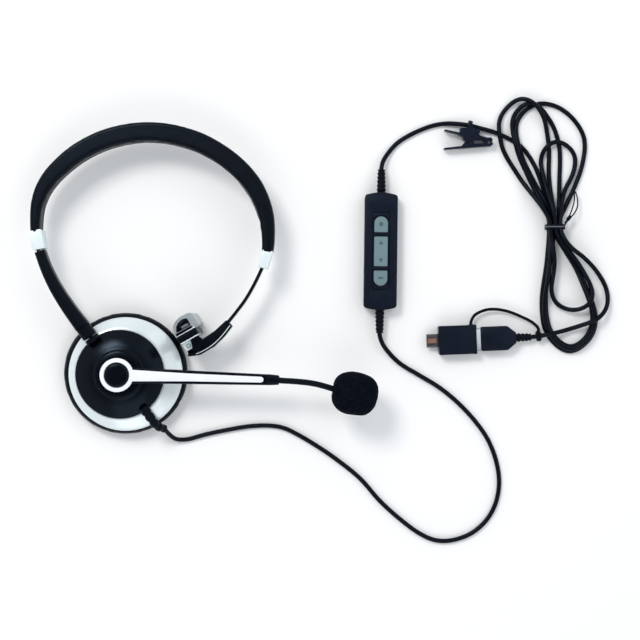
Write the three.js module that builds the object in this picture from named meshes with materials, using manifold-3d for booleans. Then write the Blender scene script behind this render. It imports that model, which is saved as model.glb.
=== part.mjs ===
// Monaural office headset, lying flat: ear cup with boom microphone, padded headband with a
// temple rest, in-line controller, clothing clip, and a tied hank of cord ending in a USB plug
// that is pushed into a USB-C adapter. Millimetres, +Z up. The origin is at the middle of the
// headset's own footprint, on the surface that it lies on.
import * as THREE from "three";
import { mergeVertices } from "three/addons/utils/BufferGeometryUtils.js";
import Module from "manifold-3d";

const wasm = await Module();
wasm.setup();

// ---- driving dimensions ---------------------------------------------------------------
const GAP = 0.3;                                   // between pieces that touch
const SHELL_C = new THREE.Vector2(-49.3, -57.1);   // middle of the cushion and silver shell
const HUB_C = new THREE.Vector2(-52.6, -57.1);     // middle of the dome and boom pivot
const CUSHION = { rIn: 19.5, rOut: 36.9, top: 11.3 };
const SHELL = { r: 34.7, rTop: 27.7, z0: 11.6, z1: 16.2, rFlange: 12.5 };
const DOME = { r: 27.1, z0: 16.5, shoulder: 18.7, top: 23.0, rBoss: 14.2, zBoss: 24.8, bore: 4.6 };
const AXIS_Z = 21;                                 // height of the headband's middle plane
const ARM_DIR = new THREE.Vector2(-0.601, 0.799);  // from the hub along the arm swivel axis
const LUG = { r: 4.0, from: 16, to: 27.6 };
const BARREL = { r: 4.4, from: 27.9, to: 37 };
const SWIVEL_PIN = { r: 1.5, from: 19, to: 33.5 };
const ARM = { width: 6.4, height: 11 };
const BLADE = { x: -101.2, y0: 12.6, y1: 47, thick: 0.8, height: 8 };
const BAND_HEIGHT = 14;
const SPRING = { thick: 1.2, height: 8 };
const BOOM = { angle: -1.8, z0: 26.2, z1: 31.0, discR: 10.2, length: 88, half0: 4.6, half1: 3.3 };
const NECK_R = 1.8;
const NECK_Z = 28.4;
const FOAM = { x: 90.9, y: -68.3, length: 28.8, r: 13.3, tilt: -10 };
const TBAR = { x: -8.8, y: -33.0, turn: 29.3, length: 42 };
const TBAR_PIVOT = new THREE.Vector2(-9.9, -39.6);
const CORD_R = 1.4;
const CONTROLLER = { x: 106.5, y: 18.1, turn: -0.7, w: 20.2, l: 72.2, split: 5.3, top: 11 };
const PLUG = { x: 168.6, y: -35.8, turn: 2.2, w: 15, z0: 0.4, z1: 8.4, midZ: 4.4 };
const ADAPTER = { x0: -26.3, x1: -3.1, w: 17.8, z0: 0, z1: 8.8 };
const TIE = { x: 213.9, y: 33.2, width: 3.0 };

// Routes of the loose cord, hand-chosen points [x, y, z].
const LOWER_LEAD = [
  [-25.9, -90.8, 12.0], [-23.4, -94.4, 7.6], [-19.6, -97.6, 3.4], [-13.5, -98.0, 1.7],
  [-1, -94.8, 1.5], [14.7, -91.6, 1.5], [26.5, -89.8, 1.5], [38.2, -89.5, 1.5],
  [46.3, -90.8, 1.5], [54.3, -94.4, 1.5], [69.2, -103.3, 1.5], [81.6, -112, 1.5],
  [94, -122.2, 1.5], [106.3, -136.1, 1.5], [118.7, -147.3, 1.5], [131, -156.3, 1.5],
  [140.4, -160.3, 1.5], [149.7, -160.6, 1.5], [162, -156.6, 1.5], [171.3, -149, 1.5],
  [177.5, -138.6, 1.5], [180, -126.2, 1.5], [178.8, -113.9, 1.5], [173.8, -99.6, 1.5],
  [167, -89, 1.5], [156, -76.7, 1.5], [143.5, -66.2, 1.5], [131, -58.5, 1.5],
  [118.7, -51, 1.5], [111.2, -43.6, 2.0], [107.6, -38.4, 4.2], [106.0, -33.6, 5.5],
];
const UPPER_LEAD = [
  [107.1, 69.8, 5.5], [108.2, 73.9, 4.2], [111.6, 79.4, 2.0], [117.2, 85.5, 1.5],
  [127.1, 91.5, 1.5], [138.2, 95.9, 1.5], [146.5, 97.4, 1.7], [154.6, 97.1, 2.9],
  [161.6, 95.9, 4.2], [168.6, 94.2, 3.2], [177.4, 91.9, 1.6],
];
const PLUG_LEAD = [[208.2, -33.3, 3.6], [204.0, -34.0, 4.0], [199.2, -34.7, 4.4]];
const TETHER = [
  [162.3, -25.9, 4.4], [164.4, -21.4, 4.4], [170.4, -18.2, 4.2], [176.4, -17.4, 4.0],
  [184.6, -18.6, 3.6], [193.9, -22.2, 3.4], [200.6, -25.8, 3.8], [203.8, -29.2, 4.6],
];

// ---- helpers --------------------------------------------------------------------------
const group = new THREE.Group();

function flipIfInsideOut(geometry) {
  const p = geometry.getAttribute("position");
  const index = geometry.index;
  const a = new THREE.Vector3();
  const b = new THREE.Vector3();
  const c = new THREE.Vector3();
  let volume = 0;
  for (let i = 0; i < index.count; i += 3) {
    a.fromBufferAttribute(p, index.getX(i));
    b.fromBufferAttribute(p, index.getX(i + 1));
    c.fromBufferAttribute(p, index.getX(i + 2));
    volume += a.dot(b.cross(c));
  }
  if (volume < 0) {
    for (let i = 0; i < index.count; i += 3) {
      const first = index.getX(i);
      index.setX(i, index.getX(i + 2));
      index.setX(i + 2, first);
    }
  }
  return geometry;
}

function welded(geometry) {
  const g = geometry.clone();
  g.deleteAttribute("normal");
  g.deleteAttribute("uv");
  return flipIfInsideOut(mergeVertices(g, 1e-4));
}

function toManifold(geometry) {
  const g = welded(geometry);
  return new wasm.Manifold(new wasm.Mesh({
    numProp: 3,
    vertProperties: new Float32Array(g.getAttribute("position").array),
    triVerts: new Uint32Array(g.index.array),
  }));
}

function fromManifold(solid) {
  const mesh = solid.getMesh();
  const g = new THREE.BufferGeometry();
  g.setAttribute("position", new THREE.BufferAttribute(new Float32Array(mesh.vertProperties), 3));
  g.setIndex(new THREE.BufferAttribute(new Uint32Array(mesh.triVerts), 1));
  g.computeVertexNormals();
  return g;
}

const cut = (base, ...tools) =>
  fromManifold(tools.reduce((solid, t) => solid.subtract(toManifold(t)), toManifold(base)));
const join = (base, ...more) =>
  fromManifold(more.reduce((solid, t) => solid.add(toManifold(t)), toManifold(base)));

function add(name, geometry, look, parent = group) {
  const [color, roughness, metalness] = look;
  const material = new THREE.MeshStandardMaterial({ color, roughness, metalness });
  const mesh = new THREE.Mesh(flipIfInsideOut(geometry.index ? geometry : welded(geometry)), material);
  mesh.name = name;
  parent.add(mesh);
  return mesh;
}

const BLACK = [0x14171d, 0.45, 0];
const SOFT = [0x1a1c22, 0.7, 0];
const STEEL = [0xb9bec4, 0.3, 1];
const SILVER = [0xe4eaea, 0.35, 0.6];
const NAVY = [0x20242f, 0.5, 0];
const BUTTON = [0x6c8e95, 0.5, 0];
const CLEAR = [0xc4ccd0, 0.3, 0];
const GREEN = [0x1f5a3a, 0.6, 0];

const v2 = (x, y) => new THREE.Vector2(x, y);
const curve3 = (points) => new THREE.CatmullRomCurve3(
  points.map(([x, y, z]) => new THREE.Vector3(x, y, z)), false, "centripetal");

// A prism with the given outline (points or a THREE.Shape), from z0 to z1.
function prism(outline, z0, z1, segments = 6) {
  const shape = outline instanceof THREE.Shape ? outline : new THREE.Shape(outline);
  const g = new THREE.ExtrudeGeometry(shape, { depth: z1 - z0, bevelEnabled: false, curveSegments: segments });
  g.translate(0, 0, z0);
  return welded(g);
}

// A flat strip that stands on edge: constant or changing thickness about a plan curve.
function strip(points, half, z0, z1, steps) {
  const curve = new THREE.SplineCurve(points.map(([x, y]) => v2(x, y)));
  const left = [];
  const right = [];
  for (let i = 0; i <= steps; i++) {
    const t = i / steps;
    const p = curve.getPointAt(t);
    const d = curve.getTangentAt(t);
    const h = typeof half === "function" ? half(t) : half;
    left.push(v2(p.x - d.y * h, p.y + d.x * h));
    right.push(v2(p.x + d.y * h, p.y - d.x * h));
  }
  return prism([...left, ...right.reverse()], z0, z1);
}

// A solid of revolution about the Z axis from [radius, z] points.
function lathe(profile, segments, closed = false) {
  const points = profile.map(([r, z]) => v2(r, z));
  if (closed) points.push(points[0].clone());
  const g = new THREE.LatheGeometry(points, segments);
  g.rotateX(Math.PI / 2);
  return welded(g);
}

function tube(points, radius, steps, sides = 8) {
  const section = new THREE.Shape();
  for (let i = 0; i < sides; i++) {
    const a = (i / sides) * Math.PI * 2;
    if (i === 0) section.moveTo(radius * Math.cos(a), radius * Math.sin(a));
    else section.lineTo(radius * Math.cos(a), radius * Math.sin(a));
  }
  const path = points.isCurve ? points : curve3(points);
  path.arcLengthDivisions = 1000;
  return welded(new THREE.ExtrudeGeometry(section, { steps, extrudePath: path, bevelEnabled: false }));
}

// A round bar between two points.
function bar(from, to, radius, sides = 16) {
  const a = new THREE.Vector3(...from);
  const b = new THREE.Vector3(...to);
  const g = new THREE.CylinderGeometry(radius, radius, a.distanceTo(b), sides);
  g.applyQuaternion(new THREE.Quaternion().setFromUnitVectors(
    new THREE.Vector3(0, 1, 0), b.clone().sub(a).normalize()));
  g.translate((a.x + b.x) / 2, (a.y + b.y) / 2, (a.z + b.z) / 2);
  return welded(g);
}

function roundedRect(w, h, r, cx = 0, cy = 0) {
  const s = new THREE.Shape();
  s.moveTo(cx + w / 2, cy - h / 2 + r);
  s.absarc(cx + w / 2 - r, cy + h / 2 - r, r, 0, Math.PI / 2);
  s.absarc(cx - w / 2 + r, cy + h / 2 - r, r, Math.PI / 2, Math.PI);
  s.absarc(cx - w / 2 + r, cy - h / 2 + r, r, Math.PI, Math.PI * 1.5);
  s.absarc(cx + w / 2 - r, cy - h / 2 + r, r, Math.PI * 1.5, Math.PI * 2);
  return s;
}

const box = (x0, x1, y0, y1, z0, z1) => {
  const g = new THREE.BoxGeometry(x1 - x0, y1 - y0, z1 - z0);
  g.translate((x0 + x1) / 2, (y0 + y1) / 2, (z0 + z1) / 2);
  return welded(g);
};

// A strain relief: a tapered body with raised ribs, along +Y from y = 0.
function ribbedRelief(r0, r1, length, ribs) {
  const profile = [[0, 0]];
  const pitch = length / ribs;
  for (let i = 0; i < ribs; i++) {
    const r = r0 + (r1 - r0) * (i / (ribs - 1));
    profile.push([r, i * pitch], [r, (i + 0.62) * pitch]);
    profile.push([r - 0.5, (i + 0.62) * pitch], [r - 0.5, (i + 1) * pitch]);
  }
  profile.push([0, length]);
  const g = new THREE.LatheGeometry(profile.map(([r, y]) => v2(r, y)), 10);
  return welded(g);
}

const alongArm = (t) => [HUB_C.x + ARM_DIR.x * t, HUB_C.y + ARM_DIR.y * t];
const at = (geometry, c, z = 0) => geometry.translate(c.x, c.y, z);

// ---- ear cup --------------------------------------------------------------------------
function earCup() {
  const { rIn, rOut, top } = CUSHION;
  const cushion = [
    [rIn + 2.5, 0], [rOut - 6.6, 0], [rOut - 3.4, 1.2], [rOut - 1.2, 3.6], [rOut, 7], [rOut - 0.3, 9.4],
    [rOut - 1.8, top], [rIn, top], [rIn, 3],
  ];
  add("ear_cushion", at(lathe(cushion, 32, true), SHELL_C), SOFT);

  const holes = [];
  for (let i = 0; i < 8; i++) {
    const r = i % 2 ? 9.5 : 5.5;
    const a = (i * Math.PI) / 4;
    holes.push(at(bar([r * Math.cos(a), r * Math.sin(a), 5], [r * Math.cos(a), r * Math.sin(a), 9.5], 1.5, 6), SHELL_C));
  }
  const grille = at(lathe([[0, 6.5], [19.1, 6.5], [19.1, 7.9], [0, 7.9]], 24), SHELL_C);
  add("speaker_grille", cut(grille, ...holes), BLACK);

  const basket = [
    [11.8, 8.3], [14.8, 8.3], [14.8, 9.5], [13.2, 9.5], [12.0, 14.6], [9, 14.6], [9, 13.6],
    [10.8, 13.6], [11.8, 9.5],
  ];
  const magnet = lathe([[0, 12], [9.2, 12], [9.2, 17.4], [0, 17.4]], 18);
  add("driver_body", at(join(lathe(basket, 18, true), magnet), SHELL_C), STEEL);
  const diaphragm = [[0, 9.6], [6, 9.2], [11.3, 8.4], [11.3, 8.8], [6, 9.9], [0, 10.4]];
  add("driver_diaphragm", at(lathe(diaphragm, 18), SHELL_C), CLEAR);

  const screwAt = [120, 300].map((deg) => {
    const a = THREE.MathUtils.degToRad(deg);
    return [SHELL_C.x + 17.3 * Math.cos(a), SHELL_C.y + 17.3 * Math.sin(a)];
  });
  const screwHoles = screwAt.map(([x, y]) => bar([x, y, 11], [x, y, 17], 1.4, 8));
  const baffle = at(lathe([[15.4, 11.6], [31.4, 11.6], [31.4, 12.6], [15.4, 12.6]], 32, true), SHELL_C);
  add("baffle_plate", cut(baffle, ...screwHoles), BLACK);
  screwAt.forEach(([x, y], i) => {
    const screw = [[0, 10.1], [1.8, 10.1], [1.8, 11.2], [1.0, 11.2], [1.0, 15.9], [0, 15.9]];
    add(`shell_screw_${i + 1}`, lathe(screw, 8).translate(x, y, 0), STEEL);
  });

  // Silver shell: a cone whose top is set off towards the hub.
  const shellProfile = [
    [SHELL.r, SHELL.z0], [SHELL.r, SHELL.z0 + 1.2], [SHELL.r - 0.5, SHELL.z0 + 1.7],
    [SHELL.rTop, SHELL.z1], [SHELL.rFlange, SHELL.z1], [SHELL.rFlange, SHELL.z1 - 1],
    [SHELL.rTop - 0.4, SHELL.z1 - 1], [SHELL.r - 1.8, SHELL.z0 + 0.9], [SHELL.r - 1.4, SHELL.z0],
  ];
  const shear = (HUB_C.x - SHELL_C.x) / (SHELL.z1 - SHELL.z0 - 1.2);
  const shell = lathe(shellProfile, 36, true);
  shell.translate(0, 0, -(SHELL.z0 + 1.2));
  shell.applyMatrix4(new THREE.Matrix4().makeShear(0, 0, 0, 0, shear, 0));
  shell.translate(0, 0, SHELL.z0 + 1.2);
  add("silver_shell", cut(at(shell, SHELL_C), ...screwHoles), SILVER);

  // Glossy dome with a raised boss, a lug for the arm and a tab for the cord.
  const { r, z0, shoulder, top: crown, rBoss, zBoss, bore } = DOME;
  const domeProfile = [
    [r, z0], [r, shoulder], [r - 0.8, shoulder + 1.2], [r - 3, crown - 1.3], [r - 7, crown - 0.4],
    [rBoss + 0.9, crown], [rBoss, zBoss - 0.4], [rBoss - 0.6, zBoss], [bore, zBoss],
    [bore, crown - 1.6], [r - 8, crown - 2.2], [r - 2.2, shoulder], [r - 2.2, z0],
  ];
  const [lx0, ly0] = alongArm(LUG.from + 4);
  const [lx1, ly1] = alongArm(LUG.to);
  const lug = bar([lx0, ly0, AXIS_Z], [lx1, ly1, AXIS_Z], LUG.r, 14);
  const [px0, py0] = alongArm(SWIVEL_PIN.from - 1);
  const [px1, py1] = alongArm(SWIVEL_PIN.to);
  const pinBore = bar([px0, py0, AXIS_Z], [lx1 + ARM_DIR.x, ly1 + ARM_DIR.y, AXIS_Z], SWIVEL_PIN.r + GAP, 10);
  const tabDir = v2(0.585, -0.811);
  const tab = bar(
    [HUB_C.x + tabDir.x * 22, HUB_C.y + tabDir.y * 22, 19.6],
    [HUB_C.x + tabDir.x * 28.4, HUB_C.y + tabDir.y * 28.4, 19.2], 2.7, 12);
  const dome = at(lathe(domeProfile, 32, true), HUB_C);
  add("dome", cut(join(dome, lug, tab), pinBore), BLACK);
  const [qx0, qy0] = alongArm(SWIVEL_PIN.from);
  add("arm_swivel_pin", bar([qx0, qy0, AXIS_Z], [px1, py1, AXIS_Z], SWIVEL_PIN.r, 10), STEEL);

  // Strain relief out of the tab, over the shell's rim and down past the cushion.
  const reliefPath = [
    [HUB_C.x + tabDir.x * 28.8, HUB_C.y + tabDir.y * 28.8, 19.2],
    [HUB_C.x + tabDir.x * 33, HUB_C.y + tabDir.y * 33, 18.9],
    [HUB_C.x + tabDir.x * 38.4, HUB_C.y + tabDir.y * 38.4, 17.2],
    [-26.3, -90.3, 12.5],
  ];
  add("cup_strain_relief", tube(reliefPath, 2.1, 7, 8), SOFT);

  const post = [
    [0, 19.8], [6.2, 19.8], [6.2, 20.8], [3.8, 20.8], [3.8, 28.5], [5.9, 28.5], [5.9, 29.8], [0, 29.8],
  ];
  add("boom_pivot_post", at(lathe(post, 16), HUB_C), STEEL);
}

// ---- boom and microphone --------------------------------------------------------------
function boom() {
  const g = new THREE.Group();
  g.position.set(HUB_C.x, HUB_C.y, 0);
  g.rotation.z = THREE.MathUtils.degToRad(BOOM.angle);
  group.add(g);
  const { discR, z0, z1, length, half0, half1 } = BOOM;

  const halfAt = (x) => half0 + (half1 - half0) * (x / length);
  const beam = prism([
    v2(5, -halfAt(5)), v2(length, -half1), v2(length, half1), v2(5, halfAt(5)),
  ], z0, z1);
  const disc = lathe([[4.2, z0], [discR, z0], [discR, z0 + 1.9], [4.2, z0 + 1.9]], 28, true);
  const hubClear = bar([0, 0, z0 + 1.9], [0, 0, z1 + 2], discR + GAP, 28);
  const bore = bar([0, 0, z0 - 1], [0, 0, z0 + 3], 4.2, 16);
  const inlayOutline = (grow) => {
    const s = new THREE.Shape();
    s.moveTo(9.4, -3.5 - grow);
    s.lineTo(44, -2.3 - grow);
    s.lineTo(length - 3.4, -1.75 - grow);
    s.absarc(length - 3.4, 0, 1.75 + grow, -Math.PI / 2, Math.PI / 2);
    s.lineTo(44, 2.3 + grow);
    s.lineTo(9.4, 3.5 + grow);
    return s;
  };
  const recess = prism(inlayOutline(GAP), z1 - 1.0, z1 + 1, 6);
  add("boom_arm", cut(join(beam, disc), hubClear, bore, recess), BLACK, g);
  const inlay = prism(inlayOutline(0), z1 - 0.7, z1 + 0.3, 6);
  const ring = [[7.5, 28.5], [discR, 28.5], [discR, 31.0], [discR - 0.8, 31.8], [8.1, 31.8], [7.5, 31.2]];
  add("boom_inlay", join(lathe(ring, 28, true), inlay), SILVER, g);
  const cap = [
    [0, 31.2], [6.4, 31.2], [6.4, 28.6], [7.1, 28.6], [7.1, 31.6], [6.3, 32.3], [0, 32.6],
  ];
  add("pivot_cap", lathe(cap, 24), BLACK, g);

  // End collar that the flexible neck comes out of.
  const collar = bar([length + GAP, 0, NECK_Z], [96.4, -0.2, NECK_Z], 3.1, 14);
  add("boom_end_collar", collar, BLACK, g);
}

function microphone() {
  // The flexible neck is two links: the first turns in the collar, the second tips at mid-neck.
  const first = [[46.6, -60.5, NECK_Z], [52, -60.8, NECK_Z], [57.6, -61.2, NECK_Z]];
  const second = [[61.8, -61.7, NECK_Z], [67, -62.6, NECK_Z], [72.4, -64.0, 28.2], [78.4, -66.0, 28.0]];
  const ball = (p, r) => welded(new THREE.SphereGeometry(r, 10, 8).translate(...p));
  add("neck_base", join(tube(first, NECK_R, 3, 8), ball(first[0], NECK_R), ball(first[2], NECK_R)), SOFT);
  add("neck_tip", join(tube(second, NECK_R, 5, 8), ball(second[0], NECK_R)), SOFT);

  const g = new THREE.Group();
  g.position.set(FOAM.x, FOAM.y, 27.8);
  g.rotation.z = THREE.MathUtils.degToRad(FOAM.tilt);
  group.add(g);
  const layDown = (geometry) => geometry.rotateY(Math.PI / 2);
  const half = FOAM.length / 2;
  const foam = [
    [0, 6.6], [4.9, 6.6], [4.9, -half + 0.6], [6.6, -half], [9.6, -half + 2.2], [12.2, -half + 6.6],
    [FOAM.r, -1], [12.9, 4], [10.6, 9.2], [6.4, half - 1.2], [0, half],
  ];
  add("foam_windscreen", layDown(lathe(foam, 20)), SOFT, g);
  const housing = [
    [0, -11.6], [3.2, -11.6], [4.5, -10], [4.5, 5.6], [3.9, 5.6], [3.9, 1.8], [0, 1.8],
  ];
  add("mic_housing", layDown(lathe(housing, 12)), BLACK, g);
  add("mic_capsule", layDown(lathe([[0, 2.1], [3.5, 2.1], [3.5, 5.4], [0, 5.4]], 12)), STEEL, g);
}

// ---- headband -------------------------------------------------------------------------
function armAndBlade() {
  const z0 = AXIS_Z - ARM.height / 2;
  const z1 = AXIS_Z + ARM.height / 2;
  const [bx0, by0] = alongArm(BARREL.from);
  const [bx1, by1] = alongArm(BARREL.to);
  const [sx, sy] = alongArm(35.6);
  const barrel = bar([bx0, by0, AXIS_Z], [bx1, by1, AXIS_Z], BARREL.r, 16);
  const beam = strip([[sx, sy], [-83.4, -15.8], [-91.3, -3.2], [-96.6, 8.0], [-100.0, 17.2]],
    ARM.width / 2, z0, z1, 12);
  const [px0, py0] = alongArm(BARREL.from - 1);
  const [px1, py1] = alongArm(SWIVEL_PIN.to + GAP);
  const pinBore = bar([px0, py0, AXIS_Z], [px1, py1, AXIS_Z], SWIVEL_PIN.r + GAP, 10);
  const { x, y0, y1, thick, height } = BLADE;
  const slot = box(x - thick / 2 - GAP, x + thick / 2 + GAP, y0 - GAP, 30,
    AXIS_Z - height / 2 - GAP, AXIS_Z + height / 2 + GAP);
  add("band_arm", cut(join(barrel, beam), pinBore, slot), BLACK);
  add("adjuster_blade", box(x - thick / 2, x + thick / 2, y0, y1,
    AXIS_Z - height / 2, AXIS_Z + height / 2), STEEL);
}

// Clip: a block over the pad's end, turned in plan, with a slot for the blade or spring.
function padClip(name, x, y, turn, thick, length, slot) {
  const outline = roundedRect(thick, length, 0.8);
  const g = prism(outline, AXIS_Z - 6.6, AXIS_Z + 6.6, 4);
  g.rotateZ(THREE.MathUtils.degToRad(turn));
  g.translate(x, y, 0);
  add(name, cut(g, slot), SILVER);
}

function headband() {
  const pad = [
    [-102.2, 30.6], [-101.9, 38], [-98.2, 55], [-86.4, 69.6], [-69, 81.8], [-51.2, 88.4], [-33, 90.1],
    [-16, 88.1], [1.5, 81.4], [17.8, 70.2], [28.8, 57.6], [35.4, 44.2], [37.8, 32], [38.0, 19.6],
  ];
  const padHalf = (t) => 2.9 + 1.75 * Math.sin(Math.PI * Math.min(t * 1.15, 1)) ** 0.8 + 0.6 * t;
  const padSolid = strip(pad, padHalf, AXIS_Z - BAND_HEIGHT / 2, AXIS_Z + BAND_HEIGHT / 2, 28);
  const { x, thick, height } = BLADE;
  const bladeSlot = box(x - thick / 2 - 0.4, x + thick / 2 + 0.4, 10, 51,
    AXIS_Z - height / 2 - 0.4, AXIS_Z + height / 2 + 0.4);
  const spring = [
    [-95.4, 61], [-86.4, 70.2], [-69, 82.2], [-51.2, 88.6], [-33, 90.3], [-16, 88.2], [1.5, 81.4],
    [17.8, 70.0], [28.6, 57.4], [35.2, 44.2], [37.7, 32], [37.8, 19.6], [36.2, 12.5], [33.4, 5.6],
    [27.9, -5.4], [23.6, -12.5], [18.6, -19.2], [13.6, -25.4], [6.4, -33.2],
  ];
  const springSolid = (grow) => strip(spring, SPRING.thick / 2 + grow,
    AXIS_Z - SPRING.height / 2 - grow, AXIS_Z + SPRING.height / 2 + grow, 36);
  const springSlot = springSolid(GAP);
  add("headband_pad", cut(padSolid, bladeSlot, springSlot), SOFT);
  add("headband_spring", springSolid(0), STEEL);
  padClip("clip_arm_side", -101.3, 24.2, 11, 5.8, 11.4, bladeSlot);
  padClip("clip_temple_side", 36.3, 12.7, -17, 6.2, 11.6, springSlot);
  return springSlot;
}

function temple(springSlot) {
  const z0 = AXIS_Z - 5.5;
  const z1 = AXIS_Z + 5.5;
  const sleeve = prism([
    v2(12.4, -24.2), v2(15.8, -27.8), v2(11, -34), v2(5.2, -39.8), v2(-3.2, -44.9), v2(-9.2, -46.2),
    v2(-11.0, -46.4), v2(-11.0, -44.0), v2(-6.2, -43.2), v2(-5.0, -40.4), v2(-4.6, -37.4), v2(-1.2, -36.0),
  ], z0, z1);
  const foot = prism([v2(-4, -43.4), v2(-10.9, -45.3), v2(-12.2, -38), v2(-6.4, -36.6), v2(-4, -38)], z0, z0 + 1.6);
  const pinHole = bar([TBAR_PIVOT.x, TBAR_PIVOT.y, z0 - 1], [TBAR_PIVOT.x, TBAR_PIVOT.y, z0 + 3], 1.3, 12);
  add("temple_sleeve", cut(join(sleeve, foot), springSlot, pinHole), BLACK);
  add("temple_hinge_pin", bar([TBAR_PIVOT.x, TBAR_PIVOT.y, z0 + 0.2], [TBAR_PIVOT.x, TBAR_PIVOT.y, z1 - 0.6], 1.0, 12), STEEL);

  const g = new THREE.Group();
  g.position.set(TBAR.x, TBAR.y, AXIS_Z);
  g.rotation.z = THREE.MathUtils.degToRad(TBAR.turn);
  group.add(g);
  const h = TBAR.length / 2;
  const outer = new THREE.Shape();
  outer.moveTo(-5.6, 2.3);
  outer.lineTo(7.4, 2.3);
  outer.lineTo(8.2, 3.2);
  outer.lineTo(7.9, 10.4);
  outer.quadraticCurveTo(7.7, 11.3, 6.8, 11.4);
  outer.lineTo(0.6, 11.7);
  outer.bezierCurveTo(-3.8, 11.5, -6.9, 8.2, -6.9, 4.4);
  outer.lineTo(-6.7, 3.0);
  const hollow = new THREE.Path();
  hollow.moveTo(-4.6, 4.2);
  hollow.bezierCurveTo(-4.6, 7.2, -2.2, 9.5, 0.6, 9.7);
  hollow.lineTo(5.0, 9.5);
  hollow.lineTo(5.4, 4.2);
  outer.holes.push(hollow);
  add("temple_pad", prism(outer, -h, h, 5), CLEAR, g);
  add("crossbar", prism(roundedRect(10.8, 3.8, 1.2), -h + 4, h - 4, 3), BLACK, g);
  const pivot = TBAR_PIVOT.clone().sub(v2(TBAR.x, TBAR.y)).rotateAround(v2(0, 0), -g.rotation.z);
  const block = prism(roundedRect(6.0, 5.4, 1.0, pivot.x, -4.9), -3.4, 5.0, 3);
  add("hinge_block", cut(block, bar([pivot.x, pivot.y, -8], [pivot.x, pivot.y, 8], 1.3, 12)), CLEAR, g);
}

// ---- in-line controller ---------------------------------------------------------------
function controller() {
  const { x, y, turn, w, l, split, top } = CONTROLLER;
  const g = new THREE.Group();
  g.position.set(x, y, 0);
  g.rotation.z = THREE.MathUtils.degToRad(turn);
  group.add(g);
  // Long sides straight, ends slightly convex.
  const outline = (inset) => {
    const hw = w / 2 - inset;
    const hl = l / 2 - inset;
    const s = new THREE.Shape();
    s.moveTo(hw, -hl + 3.4);
    s.lineTo(hw, hl - 3.4);
    s.quadraticCurveTo(hw, hl - 1.6, hw - 1.8, hl - 1.2);
    s.quadraticCurveTo(0, hl + 1.2, -hw + 1.8, hl - 1.2);
    s.quadraticCurveTo(-hw, hl - 1.6, -hw, hl - 3.4);
    s.lineTo(-hw, -hl + 3.4);
    s.quadraticCurveTo(-hw, -hl + 1.6, -hw + 1.8, -hl + 1.2);
    s.quadraticCurveTo(0, -hl - 1.2, hw - 1.8, -hl + 1.2);
    s.quadraticCurveTo(hw, -hl + 1.6, hw, -hl + 3.4);
    return s;
  };
  const wall = 1.5;
  const screwY = [-31, 31];
  const screwBores = screwY.map((sy) => bar([0, sy, -1], [0, sy, 8.2], 1.4, 8));
  const base = cut(prism(outline(0), 0, split, 5), prism(outline(wall), 1.4, split + 1, 5), ...screwBores);
  add("controller_base", base, NAVY, g);

  const window = prism(roundedRect(11.2, 47.6, 2), 7, top + 1, 4);
  const bosses = screwY.map((sy) => bar([0, sy, split + GAP], [0, sy, top - 1], 2.6, 10));
  const hollow = prism(outline(wall), split, top - 1.4, 5);
  const rim = prism(outline(0.7), top - 1.2, top, 5);
  const lower = prism(outline(0), split + GAP, top - 1.2, 5);
  const cover = cut(join(cut(join(lower, rim), hollow), ...bosses), window, ...screwBores);
  add("controller_cover", cover, NAVY, g);
  screwY.forEach((sy, i) => {
    add(`controller_screw_${i + 1}`, bar([0, sy, 0.4], [0, sy, 7.9], 1.1, 8), STEEL, g);
  });
  const keySwitches = [16.4, 5.4, -5.8, -16.6].map((sy) => box(-2.4, 2.4, sy - 2.4, sy + 2.4, 4.2, 6.3));
  add("controller_board", join(box(-7.6, 7.6, -27, 27, 3.2, 4.4), ...keySwitches), GREEN, g);

  const keys = [
    { name: "button_top", y: 16.4, w: 9.0, l: 9.8, round: 1 },
    { name: "volume_rocker", y: -0.2, w: 9.0, l: 18.3, round: 0 },
    { name: "button_bottom", y: -16.6, w: 9.0, l: 9.4, round: -1 },
  ];
  const keyOutline = (k, grow) => {
    const hw = k.w / 2 + grow;
    const hl = k.l / 2 + grow;
    if (k.round === 0) return roundedRect(hw * 2, hl * 2, 0.8, 0, k.y);
    const s = new THREE.Shape();
    const far = k.y + k.round * hl;
    const near = k.y - k.round * hl;
    s.moveTo(-hw, near);
    s.lineTo(hw, near);
    s.lineTo(hw, far - k.round * 4.0);
    s.quadraticCurveTo(hw, far, 0, far);
    s.quadraticCurveTo(-hw, far, -hw, far - k.round * 4.0);
    return s;
  };
  const bezel = prism(roundedRect(10.6, 47, 1.8), 8.2, top - 0.5, 4);
  add("button_bezel", cut(bezel, ...keys.map((k) => prism(keyOutline(k, 0.35), 7, top + 1, 6))), BLACK, g);
  keys.forEach((k) => add(k.name, prism(keyOutline(k, 0), 7.7, top + 0.3, 6), BUTTON, g));
  const reliefTop = ribbedRelief(2.9, 2.6, 13.6, 4).translate(0, l / 2 + 0.4, 5.5);
  const reliefBottom = ribbedRelief(2.9, 2.6, 14.4, 4).rotateX(Math.PI).translate(0, -l / 2 - 0.4, 5.5);
  add("controller_relief_top", reliefTop, SOFT, g);
  add("controller_relief_bottom", reliefBottom, SOFT, g);
}

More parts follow.
